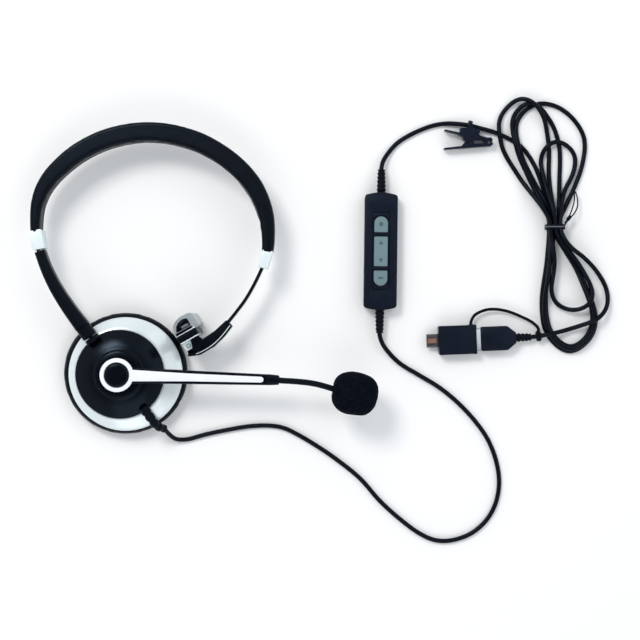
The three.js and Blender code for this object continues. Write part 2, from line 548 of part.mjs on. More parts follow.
// ---- clothing clip --------------------------------------------------------------------
function clothingClip() {
  const pivot = [160.6, 87.4];
  const ringAt = new THREE.Vector3(161.6, 95.9, 4.2);
  const along = new THREE.Vector3(0.976, -0.216, 0);
  const end = (d) => ringAt.clone().addScaledVector(along, d).toArray();
  const disc = (r, z0, z1) => bar([...pivot, z0], [...pivot, z1], r, 10);

  const jaw = prism([
    v2(146.4, 93.7), v2(153.5, 92.6), v2(157.6, 93.6), v2(164.6, 93.6), v2(167, 91.4), v2(175.4, 87.9),
    v2(175.4, 86.0), v2(167.0, 89.2), v2(163.6, 90.4), v2(157.4, 90.4), v2(153.5, 91.0), v2(146.4, 92.6),
  ], 1.2, 7.0);
  const ears = [[0.6, 1.7], [6.5, 7.6]].map(([z0, z1]) =>
    prism([v2(158.2, 85.6), v2(163, 85.6), v2(163.2, 91.2), v2(158, 91.2)], z0, z1));
  const eye = cut(bar(end(-1.5), end(1.5), 3.2, 12), bar(end(-3), end(3), CORD_R + 0.6, 12));
  const stem = box(160.2, 163.2, 92.4, 93.9, 2.4, 6.0);
  add("clip_jaw_fixed", cut(join(jaw, ...ears, eye, stem), bar(end(-3), end(3), CORD_R + 0.6, 12),
    disc(1.15, -1, 10)), BLACK);
  const lower = prism([
    v2(146.0, 81.9), v2(156.4, 84.0), v2(164.6, 84.3), v2(168.4, 86.2), v2(175.4, 85.4), v2(175.4, 83.4),
    v2(166, 82.2), v2(156.2, 82.0), v2(146.0, 80.9),
  ], 1.2, 7.0);
  const lowerClear = [[0, 2.0], [6.2, 8]].map(([z0, z1]) => disc(4.2, z0, z1));
  const knuckle = join(disc(2.1, 2.1, 3.9), prism([v2(158.9, 83.2), v2(162.3, 83.2), v2(162.3, 87.4), v2(158.9, 87.4)], 2.1, 3.9));
  add("clip_jaw_moving", cut(join(cut(lower, ...lowerClear), knuckle), disc(1.15, -1, 10)), BLACK);
  add("clip_pin", disc(0.85, 0.7, 7.5), STEEL);
  const spring = lathe([[1.2, 4.2], [2.1, 4.2], [2.1, 6.1], [1.2, 6.1]], 10, true);
  add("clip_spring", spring.translate(...pivot, 0), STEEL);
}

// ---- hank, plug and adapter -----------------------------------------------------------
function hank() {
  const upper = [
    [209.6, 35.4], [206, 42], [196.5, 58], [186.5, 75], [178.8, 88], [178.0, 100], [183, 110],
    [192, 114.4], [206, 113.2], [222, 107.4], [232.6, 95], [235, 82], [231, 64], [223.6, 46], [218.4, 35.4],
  ];
  const lower = [
    [218.4, 31.2], [226, 26.4], [238, 14.6], [247.5, 2.4], [249.6, -10], [244, -24], [240.8, -34],
    [234, -42.6], [223.6, -45.6], [214, -42.6], [209.2, -36.4], [208.6, -30], [204.9, -20], [205.2, -8],
    [208, 8], [209.4, 22], [209.6, 31.2],
  ];
  const outline = new THREE.Shape();
  outline.moveTo(...upper[0]);
  outline.splineThru(upper.slice(1).map(([x, y]) => v2(x, y)));
  outline.lineTo(...lower[0]);
  outline.splineThru(lower.slice(1).map(([x, y]) => v2(x, y)));
  const body = prism(outline, 0, 8.6, 2);
  const { x, y, width } = TIE;
  const clearance = width / 2 + 0.6;
  const below = box(x - 12, x + 12, y - clearance, y + clearance, -1, 1.1);
  const above = box(x - 12, x + 12, y - clearance, y + clearance, 8.4, 10);
  add("hank", cut(body, below, above), SOFT);

  const ring = roundedRect(11.6, 9.4, 1.2, 0, 4.8);
  ring.holes.push(roundedRect(9.8, 7.9, 0.3, 0, 4.8));
  const tie = prism(ring, -width / 2, width / 2, 4).rotateX(Math.PI / 2).translate(x + 0.1, y, 0);
  add("twist_tie", tie, SOFT);
}

function plugAndAdapter() {
  const g = new THREE.Group();
  g.position.set(PLUG.x, PLUG.y, 0);
  g.rotation.z = THREE.MathUtils.degToRad(PLUG.turn);
  group.add(g);
  const { w, z0, z1, midZ } = PLUG;
  const half = w / 2;
  const overmould = prism([
    v2(0, -half), v2(16, -half), v2(17.2, -half + 1), v2(21.4, -3.1), v2(21.4, 3.1), v2(17.2, half - 1),
    v2(16, half), v2(0, half),
  ], z0, z1);
  add("usb_overmould", overmould, BLACK, g);
  const relief = ribbedRelief(2.8, 2.5, 8.6, 3).rotateZ(-Math.PI / 2).translate(21.7, 0, midZ);
  add("usb_strain_relief", relief, SOFT, g);
  const metal = cut(box(-13, -GAP, -6, 6, midZ - 2.25, midZ + 2.25), box(-14, 1, -5.6, 5.6, midZ - 1.85, midZ + 1.85));
  add("usb_shell", metal, STEEL, g);
  add("usb_tongue", box(-12, -GAP, -5.3, 5.3, midZ - 1.55, midZ + 0.2), BLACK, g);

  const body = prism(roundedRect(ADAPTER.x1 - ADAPTER.x0, ADAPTER.w, 0.9, (ADAPTER.x0 + ADAPTER.x1) / 2, 0),
    ADAPTER.z0, ADAPTER.z1, 4);
  const lug = box(-7.4, -4.6, 8, 9.3, 2.8, 6.0);
  const socket = box(-17, 0, -6.3, 6.3, midZ - 2.55, midZ + 2.55);
  const tipHole = box(-30, -23.4, -4.45, 4.45, midZ - 1.6, midZ + 1.6);
  add("adapter_body", cut(join(body, lug), socket, tipHole), BLACK, g);
  const tip = new THREE.Shape();
  tip.absarc(-2.87, 0, 1.25, Math.PI / 2, Math.PI * 1.5);
  tip.absarc(2.87, 0, 1.25, -Math.PI / 2, Math.PI / 2);
  const tipShell = prism(tip, 0, 7.3, 8).rotateX(Math.PI / 2).rotateZ(-Math.PI / 2).translate(-26.4, 0, midZ);
  const tipSolid = join(tipShell, box(-27, -23.7, -3.4, 3.4, midZ - 1.0, midZ + 1.0));
  const tipPocket = box(-35, -28, -3.3, 3.3, midZ - 0.55, midZ + 0.55);
  add("adapter_c_plug", cut(tipSolid, tipPocket), STEEL, g);
}

function cords() {
  add("lower_lead", tube(LOWER_LEAD, CORD_R, 54), SOFT);
  add("upper_lead", tube(UPPER_LEAD, CORD_R, 15), SOFT);
  add("plug_lead", tube(PLUG_LEAD, CORD_R, 2), SOFT);
  add("tether_strap", tube(TETHER, 0.8, 9), BLACK);
  const ringAt = new THREE.Vector3(...PLUG_LEAD[1]);
  const along = new THREE.Vector3(...PLUG_LEAD[2]).sub(new THREE.Vector3(...PLUG_LEAD[0])).normalize();
  const end = (d) => ringAt.clone().addScaledVector(along, d).toArray();
  add("tether_ring", cut(bar(end(-1.6), end(1.6), 3.3, 12), bar(end(-4), end(4), CORD_R + 0.5, 12)), BLACK);
}

earCup();
boom();
microphone();
armAndBlade();
const springSlot = headband();
temple(springSlot);
controller();
clothingClip();
hank();
plugAndAdapter();
cords();

export default group;
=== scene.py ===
"""Looks for the monaural office headset: camera, light, cords, shells, soft goods and materials.

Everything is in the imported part's frame. Lengths are written in millimetres, angles in degrees;
mm() and MM turn lengths into metres.
"""
import bpy, bmesh, math
import numpy as np
from mathutils import Matrix, Vector, noise


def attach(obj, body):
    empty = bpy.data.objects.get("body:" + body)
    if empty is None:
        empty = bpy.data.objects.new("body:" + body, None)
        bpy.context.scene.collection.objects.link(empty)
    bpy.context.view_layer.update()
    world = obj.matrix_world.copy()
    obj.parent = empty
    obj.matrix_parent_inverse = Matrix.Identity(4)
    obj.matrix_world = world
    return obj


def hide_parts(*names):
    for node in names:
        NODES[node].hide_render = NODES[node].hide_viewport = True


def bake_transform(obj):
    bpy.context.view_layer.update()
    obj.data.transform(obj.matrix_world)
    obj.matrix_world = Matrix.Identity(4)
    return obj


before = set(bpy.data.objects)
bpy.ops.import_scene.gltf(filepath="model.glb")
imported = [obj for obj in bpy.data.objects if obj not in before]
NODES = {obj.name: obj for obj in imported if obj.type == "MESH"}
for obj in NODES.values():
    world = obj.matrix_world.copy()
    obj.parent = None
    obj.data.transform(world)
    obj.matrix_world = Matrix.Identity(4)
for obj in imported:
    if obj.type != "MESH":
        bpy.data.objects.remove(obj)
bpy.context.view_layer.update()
MM = 0.001
scene = bpy.context.scene
scene.view_settings.view_transform = "Standard"


def mm(*v):
    return Vector(v) * MM


# ---- shader nodes
def add_node(tree, kind, **settings):
    """A new shader node; each setting is an input's value or, where no input has its name, a property."""
    node = tree.nodes.new(kind)
    for key, value in settings.items():
        if key in node.inputs:
            node.inputs[key].default_value = value
        else:
            setattr(node, key, value)
    return node


def add_ramp(tree, factor, *stops):
    """The colour output of a two-colour ramp that factor drives; a stop is (position, colour)."""
    ramp = tree.nodes.new("ShaderNodeValToRGB")
    for element, (position, colour) in zip(ramp.color_ramp.elements, stops):
        element.position = position
        element.color = (*colour, 1)
    tree.links.new(factor, ramp.inputs["Fac"])
    return ramp.outputs["Color"]


def principled(name):
    """A new material, with its node tree and its shader."""
    material = bpy.data.materials.new(name)
    material.use_nodes = True
    return material, material.node_tree, material.node_tree.nodes["Principled BSDF"]


# ---- camera, floor and light
VIEW_CENTRE = (69.2, -24.1)      # the point that the camera looks straight down at
VIEW_HEIGHT = 900.0
FRAME_WIDTH = 396.8              # width of the floor that the view takes in
SENSOR_WIDTH = 36.0
FLOOR_Z = -0.05                  # a hair below the part, which rests on z = 0
SKY_STRENGTH = 0.86
# name, place, side of the square, watts and colour
LAMPS = [
    ("key_light", (-420, 600, 1150), 420, 8.5, (1.0, 0.985, 0.96)),
    ("fill_light", (700, 300, 1000), 1100, 2.6, (0.92, 0.96, 1.0)),
    ("front_light", (100, -900, 900), 900, 2.6, (0.95, 0.98, 1.0)),
]


def add_camera():
    data = bpy.data.cameras.new("camera")
    data.sensor_width = SENSOR_WIDTH
    data.lens = SENSOR_WIDTH * VIEW_HEIGHT / FRAME_WIDTH
    data.clip_start, data.clip_end = 0.01, 30.0
    camera = bpy.data.objects.new("camera", data)
    camera.location = mm(*VIEW_CENTRE, VIEW_HEIGHT)
    scene.collection.objects.link(camera)
    scene.camera = camera


def add_floor():
    bpy.ops.mesh.primitive_plane_add(size=8.0, location=mm(*VIEW_CENTRE, FLOOR_Z))
    floor = bpy.context.object
    floor.name = "floor"
    material, tree, shader = principled("floor_white")
    shader.inputs["Roughness"].default_value = 0.9
    shader.inputs["Specular IOR Level"].default_value = 0.1
    cloud = add_node(tree, "ShaderNodeTexNoise", Scale=3.0)
    colour = add_ramp(tree, cloud.outputs["Fac"], (0.0, (0.90, 0.90, 0.90)), (1.0, (0.91, 0.91, 0.91)))
    tree.links.new(colour, shader.inputs["Base Color"])
    floor.data.materials.append(material)


def add_sky():
    """White light from all round, darker overhead, so that glossy tops look black from the camera."""
    world = bpy.data.worlds.new("world")
    world.use_nodes = True
    tree = world.node_tree
    background = tree.nodes["Background"]
    background.inputs["Strength"].default_value = SKY_STRENGTH
    where = tree.nodes.new("ShaderNodeTexCoord")
    split = tree.nodes.new("ShaderNodeSeparateXYZ")
    tree.links.new(where.outputs["Generated"], split.inputs["Vector"])
    colour = add_ramp(tree, split.outputs["Z"], (0.70, (0.95, 0.975, 1.0)), (0.93, (0.22, 0.24, 0.28)))
    tree.links.new(colour, background.inputs["Color"])
    scene.world = world


def add_lamps():
    for name, place, size, power, colour in LAMPS:
        lamp = bpy.data.lights.new(name, "AREA")
        lamp.shape = "SQUARE"
        lamp.size = size * MM
        lamp.energy = power
        lamp.color = colour
        o = bpy.data.objects.new(name, lamp)
        o.location = mm(*place)
        aim = mm(*VIEW_CENTRE, 0) - o.location
        o.rotation_euler = aim.to_track_quat("-Z", "Y").to_euler()
        scene.collection.objects.link(o)


add_camera()
add_floor()
add_sky()
add_lamps()


# ---- mesh helpers
STRAIGHT = 1.55         # half the angle at a corner, in radians, from which it counts as straight
SIDE_SHARE = 0.497      # how much of a side the arc at one of its ends may take
RIM_ANGLE = 1.2         # radians between two faces from which their edge is a plate's rim
END_SCALE = 0.25        # size of a rounded end's last ring
SAMPLES = 24            # samples between two points of a curve, before they are spaced evenly


def from_bmesh(name, bm, sharp=35.0):
    bmesh.ops.remove_doubles(bm, verts=bm.verts, dist=1e-7)
    bmesh.ops.recalc_face_normals(bm, faces=bm.faces)
    mesh = bpy.data.meshes.new(name)
    bm.to_mesh(mesh)
    bm.free()
    mesh.shade_smooth()
    mesh.set_sharp_from_angle(angle=math.radians(sharp))
    o = bpy.data.objects.new(name, mesh)
    scene.collection.objects.link(o)
    return o


def fillet(points, radius, steps=4):
    """The closed outline with its corners rounded to arcs; radius may be one number or one per corner."""
    out = []
    n = len(points)
    for i, p in enumerate(points):
        r = radius[i] if isinstance(radius, (list, tuple)) else radius
        a, b, c = Vector(points[i - 1]), Vector(p), Vector(points[(i + 1) % n])
        u, v = (a - b).normalized(), (c - b).normalized()
        half = u.angle(v) / 2
        if r <= 0 or half > STRAIGHT:
            out.append(tuple(p))
            continue
        reach = min(r / math.tan(half), SIDE_SHARE * (a - b).length, SIDE_SHARE * (c - b).length)
        r = reach * math.tan(half)
        centre = b + (u + v).normalized() * (r / math.sin(half))
        start, end = b + u * reach - centre, b + v * reach - centre
        sweep_angle = start.angle_signed(end)
        for k in range(steps + 1):
            turn = -sweep_angle * k / steps
            q = Vector((start.x * math.cos(turn) - start.y * math.sin(turn),
                        start.x * math.sin(turn) + start.y * math.cos(turn)))
            out.append((centre.x + q.x, centre.y + q.y))
    return out


def lathe(name, profile, centre, segments, sharp=35.0):
    """A solid of revolution about a vertical axis, from (radius, z); off the axis the profile is closed."""
    bm = bmesh.new()
    rings = []
    for r, z in profile:
        if r < 1e-6:
            rings.append([bm.verts.new(mm(centre[0], centre[1], z))])
            continue
        ring = []
        for k in range(segments):
            a = 2 * math.pi * k / segments
            ring.append(bm.verts.new(mm(centre[0] + r * math.cos(a), centre[1] + r * math.sin(a), z)))
        rings.append(ring)
    pairs = list(zip(rings, rings[1:]))
    if profile[0][0] > 0:
        pairs.append((rings[-1], rings[0]))
    for a, b in pairs:
        for k in range(segments):
            k2 = (k + 1) % segments
            quad = [a[k % len(a)], a[k2 % len(a)], b[k2 % len(b)], b[k % len(b)]]
            quad = list(dict.fromkeys(quad))
            if len(quad) > 2:
                bm.faces.new(quad)
    return from_bmesh(name, bm, sharp)


def round_edges(bm, edges, bevel, segments=3):
    bmesh.ops.bevel(bm, geom=edges, offset=bevel * MM, segments=segments, profile=0.5, affect="EDGES",
                    clamp_overlap=True)


def slab(name, outline, z0, z1, bevel=0.4, segments=3, holes=()):
    """A plate with the given outline and rounded top and bottom edges."""
    bm = bmesh.new()
    loops = []
    for pts in [outline, *holes]:
        vs = [bm.verts.new(mm(x, y, z0)) for x, y in pts]
        loops.append([bm.edges.new((vs[i], vs[(i + 1) % len(vs)])) for i in range(len(vs))])
    if holes:
        bmesh.ops.triangle_fill(bm, use_beauty=True, edges=[e for loop in loops for e in loop])
    else:
        bm.faces.new([e.verts[0] for e in loops[0]])
    bmesh.ops.recalc_face_normals(bm, faces=bm.faces)
    made = bmesh.ops.extrude_face_region(bm, geom=bm.faces[:])
    top = [g for g in made["geom"] if isinstance(g, bmesh.types.BMVert)]
    bmesh.ops.translate(bm, verts=top, vec=mm(0, 0, z1 - z0))
    bmesh.ops.recalc_face_normals(bm, faces=bm.faces)
    rim = [e for e in bm.edges if e.calc_face_angle(0) > RIM_ANGLE
           and abs(e.verts[0].co.z - e.verts[1].co.z) < 1e-6]
    round_edges(bm, rim, bevel, segments)
    return from_bmesh(name, bm)


def distances(points):
    """How far along a path each of its points is."""
    steps = np.linalg.norm(np.diff(points, axis=0), axis=1)
    return np.concatenate([[0], np.cumsum(steps)])


def mix(a, b, t, ta, tb):
    """The point at t on the line that is at a when t is ta and at b when it is tb."""
    return a * (tb - t) / (tb - ta) + b * (t - ta) / (tb - ta)


def spline(points, step):
    """Points every step along a centripetal Catmull-Rom curve through the given points."""
    p = np.array(points, float)
    if p.shape[1] == 2:
        p = np.hstack([p, np.zeros((len(p), 1))])
    ext = np.vstack([2 * p[0] - p[1], p, 2 * p[-1] - p[-2]])
    out = []
    for a, b, c, d in zip(ext, ext[1:], ext[2:], ext[3:]):
        t0, t1, t2, t3 = np.cumsum([0.0] + [max(np.linalg.norm(q - r), 1e-6) ** 0.5
                                            for q, r in ((b, a), (c, b), (d, c))])
        for t in np.linspace(t1, t2, SAMPLES, endpoint=False):
            ab, bc, cd = mix(a, b, t, t0, t1), mix(b, c, t, t1, t2), mix(c, d, t, t2, t3)
            out.append(mix(mix(ab, bc, t, t0, t2), mix(bc, cd, t, t1, t3), t, t1, t2))
    out.append(p[-1])
    out = np.array(out)
    run = distances(out)
    count = max(int(round(run[-1] / step)), 2)
    at = np.linspace(0, run[-1], count + 1)
    return np.stack([np.interp(at, run, out[:, k]) for k in range(3)], axis=1)


def sweep(name, path, section, sharp=35.0, tips=0.0):
    """A solid along a path. section(t) gives [(across, up)] in mm; across is to the path's left.

    tips is the length over which the section shrinks towards both ends, as a moulded end does.
    """
    path = np.array(path, float)
    tangent = np.gradient(path, axis=0)
    tangent /= np.linalg.norm(tangent, axis=1)[:, None]
    across = np.cross([0, 0, 1.0], tangent)
    across /= np.linalg.norm(across, axis=1)[:, None]
    up = np.cross(tangent, across)
    run = distances(path)
    bm = bmesh.new()
    rings = []
    for i, p in enumerate(path):
        near = min(run[i], run[-1] - run[i])
        scale = 1.0
        if tips > 0 and near < tips:
            scale = max(math.sqrt(max(1 - (1 - near / tips) ** 2, 0)), END_SCALE)
        ring = []
        for a, u in section(run[i] / run[-1]):
            ring.append(bm.verts.new(Vector(p + across[i] * a * scale + up[i] * u * scale) * MM))
        rings.append(ring)
    n = len(rings[0])
    for a, b in zip(rings, rings[1:]):
        for k in range(n):
            bm.faces.new([a[k], a[(k + 1) % n], b[(k + 1) % n], b[k]])
    bm.faces.new(rings[0])
    bm.faces.new(rings[-1])
    return from_bmesh(name, bm, sharp)


def arc(radius, start, end, count, centre=(0, 0)):
    return [(centre[0] + radius * math.cos(a), centre[1] + radius * math.sin(a))
            for a in np.radians(np.linspace(start, end, count))]


def circle(radius, sides):
    return arc(radius, 0, 360, sides + 1)[:-1]


def rod(name, points, radius, sides=14, **ends):
    """A round bar along a path."""
    return sweep(name, points, lambda t: circle(radius, sides), **ends)


def rounded_rect(w, h, r, steps=5, cx=0.0, cy=0.0):
    east, west, north, south = cx + w / 2, cx - w / 2, cy + h / 2, cy - h / 2
    return fillet([(east, south), (east, north), (west, north), (west, south)], r, steps)


def frame_at(place, turn):
    return Matrix.Translation(mm(*place)) @ Matrix.Rotation(math.radians(turn), 4, "Z")


def turned(o, turn, place):
    """Turns a piece made about the origin and sets it in place, in its mesh."""
    o.data.transform(frame_at(place, turn))
    return o


def stretched(o, turn, place, *factors):
    """Scales a piece along the axes of a frame, in its mesh."""
    at = frame_at(place, turn)
    o.data.transform(at @ Matrix.Diagonal((*factors, 1)) @ at.inverted())
    return o


def in_frame(turn, place, points):
    """Points of a frame that is turned and set at a place, as points of the part."""
    return [tuple(frame_at(place, turn) @ mm(*p) / MM) for p in points]


# ---- cords
CORD_R = 1.4
CORD_GAP = 0.05         # air under a cord on the floor, and between two that touch
CORD_STEP = 1.3         # spacing of the points along the hank
# The leads' routes are the part's own.
LOWER_LEAD = [
    (-25.9, -90.8, 12.0), (-23.4, -94.4, 7.6), (-19.6, -97.6, 3.4), (-13.5, -98.0, 1.7),
    (-1, -94.8, 1.5), (14.7, -91.6, 1.5), (26.5, -89.8, 1.5), (38.2, -89.5, 1.5),
    (46.3, -90.8, 1.5), (54.3, -94.4, 1.5), (69.2, -103.3, 1.5), (81.6, -112, 1.5),
    (94, -122.2, 1.5), (106.3, -136.1, 1.5), (118.7, -147.3, 1.5), (131, -156.3, 1.5),
    (140.4, -160.3, 1.5), (149.7, -160.6, 1.5), (162, -156.6, 1.5), (171.3, -149, 1.5),
    (177.5, -138.6, 1.5), (180, -126.2, 1.5), (178.8, -113.9, 1.5), (173.8, -99.6, 1.5),
    (167, -89, 1.5), (156, -76.7, 1.5), (143.5, -66.2, 1.5), (131, -58.5, 1.5),
    (118.7, -51, 1.5), (111.2, -43.6, 2.0), (107.6, -38.4, 4.2), (106.0, -33.6, 5.5),
]
LOWER_LEAD_END = (105.88, -30.8, 5.5)      # inside the controller's strain relief
UPPER_LEAD_START = (107.0, 68.0, 5.5)      # likewise, at its other end
UPPER_LEAD = [
    (107.1, 69.8, 5.5), (108.2, 73.9, 4.2), (111.6, 79.4, 2.0), (117.2, 85.5, 1.5),
    (127.1, 91.5, 1.5), (138.2, 95.9, 1.5), (146.5, 97.4, 1.7), (154.6, 97.1, 2.9),
    (161.6, 95.9, 4.2), (168.6, 94.2, 3.2), (177.4, 91.9, 1.6),
]
PLUG_LEAD = [(208.2, -33.3, 3.6), (204.0, -34.0, 4.0), (199.2, -34.7, 4.4)]
TETHER = [
    (162.2, -26.9, 4.4), (162.4, -25.2, 4.4), (164.4, -21.4, 4.4), (170.4, -18.2, 4.2), (176.4, -17.4, 4.0),
    (184.6, -18.6, 3.6), (193.9, -22.2, 3.4), (200.6, -25.8, 3.8), (203.8, -29.2, 4.6), (204.0, -31.2, 4.3),
]
TIE = (213.9, 33.2)
TIE_HALF_REACH = 3.4    # how far from the tie's middle the strands are lifted by its band
TIE_LIFT = 1.0
HANK_LEFT = 205.0       # the hank's strands by the tie are to the right of this
# The hank: the lead goes down through the tie, and each turn is one loop below it and one above.
# A loop is its side where it leaves the tie, its far end and its side where it comes back.
LOWER_LOOPS = [
    [(209.6, 12), (206.4, -15), (210.0, -33.5), (223.8, -44.0), (237.2, -34.5), (240.0, -22), (233.6, -3)],
    [(210.9, 11), (208.6, -14), (212.2, -31.5), (224.2, -41.0), (235.0, -33.0), (237.6, -21), (231.0, -1)],
    [(210.6, 9), (207.4, -16), (211.0, -32.6), (224.0, -42.6), (236.2, -33.8), (238.8, -22), (232.2, -2)],
    [(213.6, 9), (211.6, -5), (214.8, -13.4), (224.6, -18.2), (234.4, -14.9), (236.8, -7), (229.6, 8)],
]
UPPER_LOOPS = [
    [(224.0, 52), (231.6, 72), (232.4, 90), (219.0, 106.4), (203.6, 109.8), (191.6, 100), (191.6, 84)],
    [(217.4, 62), (217.2, 84), (211.2, 100), (199.4, 110.6), (188.9, 102), (189.6, 84), (198.0, 64)],
    [(210.8, 66), (210.8, 84), (205.8, 104), (193.4, 112.9), (180.6, 101), (181.4, 84), (192.4, 64.4)],
    [(207.2, 64), (206.0, 77), (211.0, 85.0), (217.4, 86.0), (226.6, 79), (226.4, 68), (219.6, 53.6)],
]
INTO_HANK = [(187.6, 87.3), (194.9, 82.0), (201.4, 72.5), (206.0, 61.5), (209.2, 50)]
OUT_OF_HANK = [(222.6, 20.5), (230.0, 15.6), (240.5, 5.6), (246.6, -5.0), (246.4, -15.6), (240.4, -23.2),
               (231.4, -27.0), (221.6, -30.2), (213.4, -32.2)]
# Column of the tie that each pass goes through, and so where the strands lie in the bundle.
PASS_COLUMNS = [0, 2, 1, 2, 0, 1, 0, 1, 2]
COLUMN_PITCH = 2.95
PASS_HALF = 3           # a pass is straight for this far above and below the tie's middle
# Easing keeps the plan's first and last points, and grows over the next ones inwards.
EASING_ROUNDS = 10
HELD_FIRST, HELD_LAST = 90, 14
GROW_FIRST, GROW_LAST = 20, 10
# Laying: how near along itself, in diameters, a cord can't cross itself, and how steeply it comes down.
OWN_STRETCH = 3.2
FALL = 0.34
SMOOTHING = 7           # points that each height is averaged over


def hank_route():
    """Plan points of the whole upper cord, from the controller through the hank to the plug."""
    def through_tie(index, down):
        x = TIE[0] + (PASS_COLUMNS[index] - 1) * COLUMN_PITCH
        points = [(x, TIE[1] + PASS_HALF), (x, TIE[1] - PASS_HALF)]
        return points if down else points[::-1]

    route = [point[:2] for point in [UPPER_LEAD_START] + UPPER_LEAD] + INTO_HANK + through_tie(0, True)
    for turn, (below, above) in enumerate(zip(LOWER_LOOPS, UPPER_LOOPS)):
        route += below + through_tie(2 * turn + 1, False)
        route += above + through_tie(2 * turn + 2, True)
    return route + OUT_OF_HANK + [point[:2] for point in PLUG_LEAD]


def eased(plan):
    """The hank's plan with its tightest bends opened out; both ends stay where they were."""
    free = np.ones(len(plan))
    free[:HELD_FIRST] = free[-HELD_LAST:] = 0
    free[HELD_FIRST:HELD_FIRST + GROW_FIRST] = np.linspace(0, 1, GROW_FIRST)
    free[-HELD_LAST - GROW_LAST:-HELD_LAST] = np.linspace(1, 0, GROW_LAST)
    out = plan.copy()
    for _ in range(EASING_ROUNDS):
        inner = (out[:-2] + out[2:]) / 2
        out[1:-1] += (inner - out[1:-1]) * 0.5 * free[1:-1, None]
    run = distances(out)
    even = np.linspace(0, run[-1], int(round(run[-1] / CORD_STEP)) + 1)
    return np.column_stack([np.interp(even, run, out[:, k]) for k in range(2)])


def settled(plan, base):
    """Heights of a cord laid in order: later stretches ride over earlier ones in long low humps."""
    diameter = 2 * CORD_R + CORD_GAP
    far = np.linalg.norm(plan[:, None, :] - plan[None, :, :], axis=2)
    i, j = np.indices(far.shape)
    step = np.linalg.norm(plan[1] - plan[0])
    earlier = (j < i) & (i - j > OWN_STRETCH * diameter / step) & (far < diameter)
    lift = np.where(earlier, np.sqrt(np.maximum(diameter ** 2 - far ** 2, 0)), -1e3)
    z = base.copy()
    fall = FALL * step
    for _ in range(60):
        new = np.maximum(base, (lift + z[None, :]).max(axis=1))
        for k in range(1, len(new)):
            new[k] = max(new[k], new[k - 1] - fall)
        for k in range(len(new) - 2, -1, -1):
            new[k] = max(new[k], new[k + 1] - fall)
        if np.abs(new - z).max() < 1e-3:
            break
        z = new
    edge = SMOOTHING // 2
    extended = np.concatenate([np.full(edge, z[0]), z, np.full(edge, z[-1])])
    return np.convolve(extended, np.ones(SMOOTHING) / SMOOTHING, "valid")


def cords():
    lower = spline(LOWER_LEAD + [LOWER_LEAD_END], 1.5)
    lower_cord = rod("lower_cord", lower, CORD_R)
    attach(lower_cord, "root")
    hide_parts("lower_lead")

    plan = eased(spline(hank_route(), CORD_STEP)[:, :2])
    lead = spline([UPPER_LEAD_START] + UPPER_LEAD, CORD_STEP)
    end = spline(PLUG_LEAD, CORD_STEP)
    base = np.full(len(plan), CORD_R + CORD_GAP)
    base[:len(lead)] = lead[:, 2]
    over_tie = np.abs(plan[:, 1] - TIE[1]) < TIE_HALF_REACH
    base[over_tie & (plan[:, 0] > HANK_LEFT)] = CORD_R + TIE_LIFT
    base[-len(end):] = np.maximum(end[:, 2], base[-len(end):])
    heights = settled(plan, base)
    joined = len(lead) - 4      # the last four of the lead's points take the smoothed heights
    heights[:joined] = lead[:joined, 2]
    upper = np.column_stack([plan, heights])
    upper_cord = rod("upper_cord", upper, CORD_R)
    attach(upper_cord, "root")
    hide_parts("upper_lead", "hank", "plug_lead")
    return lower_cord, lower, upper_cord, upper


lower_cord, lower_points, upper_cord, upper_points = cords()


# ---- materials
def surface(name, colour, rough, vary=0.15, smudge=70.0, grain=2600.0, depth=0.02, pebbles=False, **inputs):
    """A finish with uneven colour and roughness and a fine grain, all from noise in the object's own space.

    smudge and grain are the textures' cycles per metre; depth is the grain's height.
    """
    material, tree, shader = principled(name)
    link = tree.links.new
    where = tree.nodes.new("ShaderNodeTexCoord").outputs["Object"]
    cloud = add_node(tree, "ShaderNodeTexNoise", Scale=smudge, Detail=4.0, Roughness=0.55)
    link(where, cloud.inputs["Vector"])
    darker, lighter = [c * (1 - vary) for c in colour], [min(c * (1 + vary), 1.0) for c in colour]
    link(add_ramp(tree, cloud.outputs["Fac"], (0.32, darker), (0.68, lighter)), shader.inputs["Base Color"])

    wear = add_node(tree, "ShaderNodeTexNoise", Scale=smudge * 3.1, Detail=3.0)
    link(where, wear.inputs["Vector"])
    ends = {"From Min": 0.3, "From Max": 0.7, "To Min": max(rough * 0.85, 0.03),
            "To Max": min(rough * 1.15, 1.0)}
    spread = add_node(tree, "ShaderNodeMapRange", **ends)
    link(wear.outputs["Fac"], spread.inputs["Value"])
    link(spread.outputs["Result"], shader.inputs["Roughness"])

    if pebbles:
        fine = add_node(tree, "ShaderNodeTexVoronoi", Scale=grain, feature="SMOOTH_F1")
        height = fine.outputs["Distance"]
    else:
        fine = add_node(tree, "ShaderNodeTexNoise", Scale=grain, Detail=3.0, Roughness=0.6)
        height = fine.outputs["Fac"]
    link(where, fine.inputs["Vector"])
    bump = add_node(tree, "ShaderNodeBump", Strength=0.6, Distance=depth * MM)
    link(height, bump.inputs["Height"])
    link(bump.outputs["Normal"], shader.inputs["Normal"])
    for key, value in inputs.items():
        shader.inputs[key.replace("_", " ")].default_value = value
    return material


def spec(level):
    """A weak reflection with a cold tint, for the blacks."""
    return {"Specular_IOR_Level": level, "Specular_Tint": (0.55, 0.74, 1.0, 1.0)}


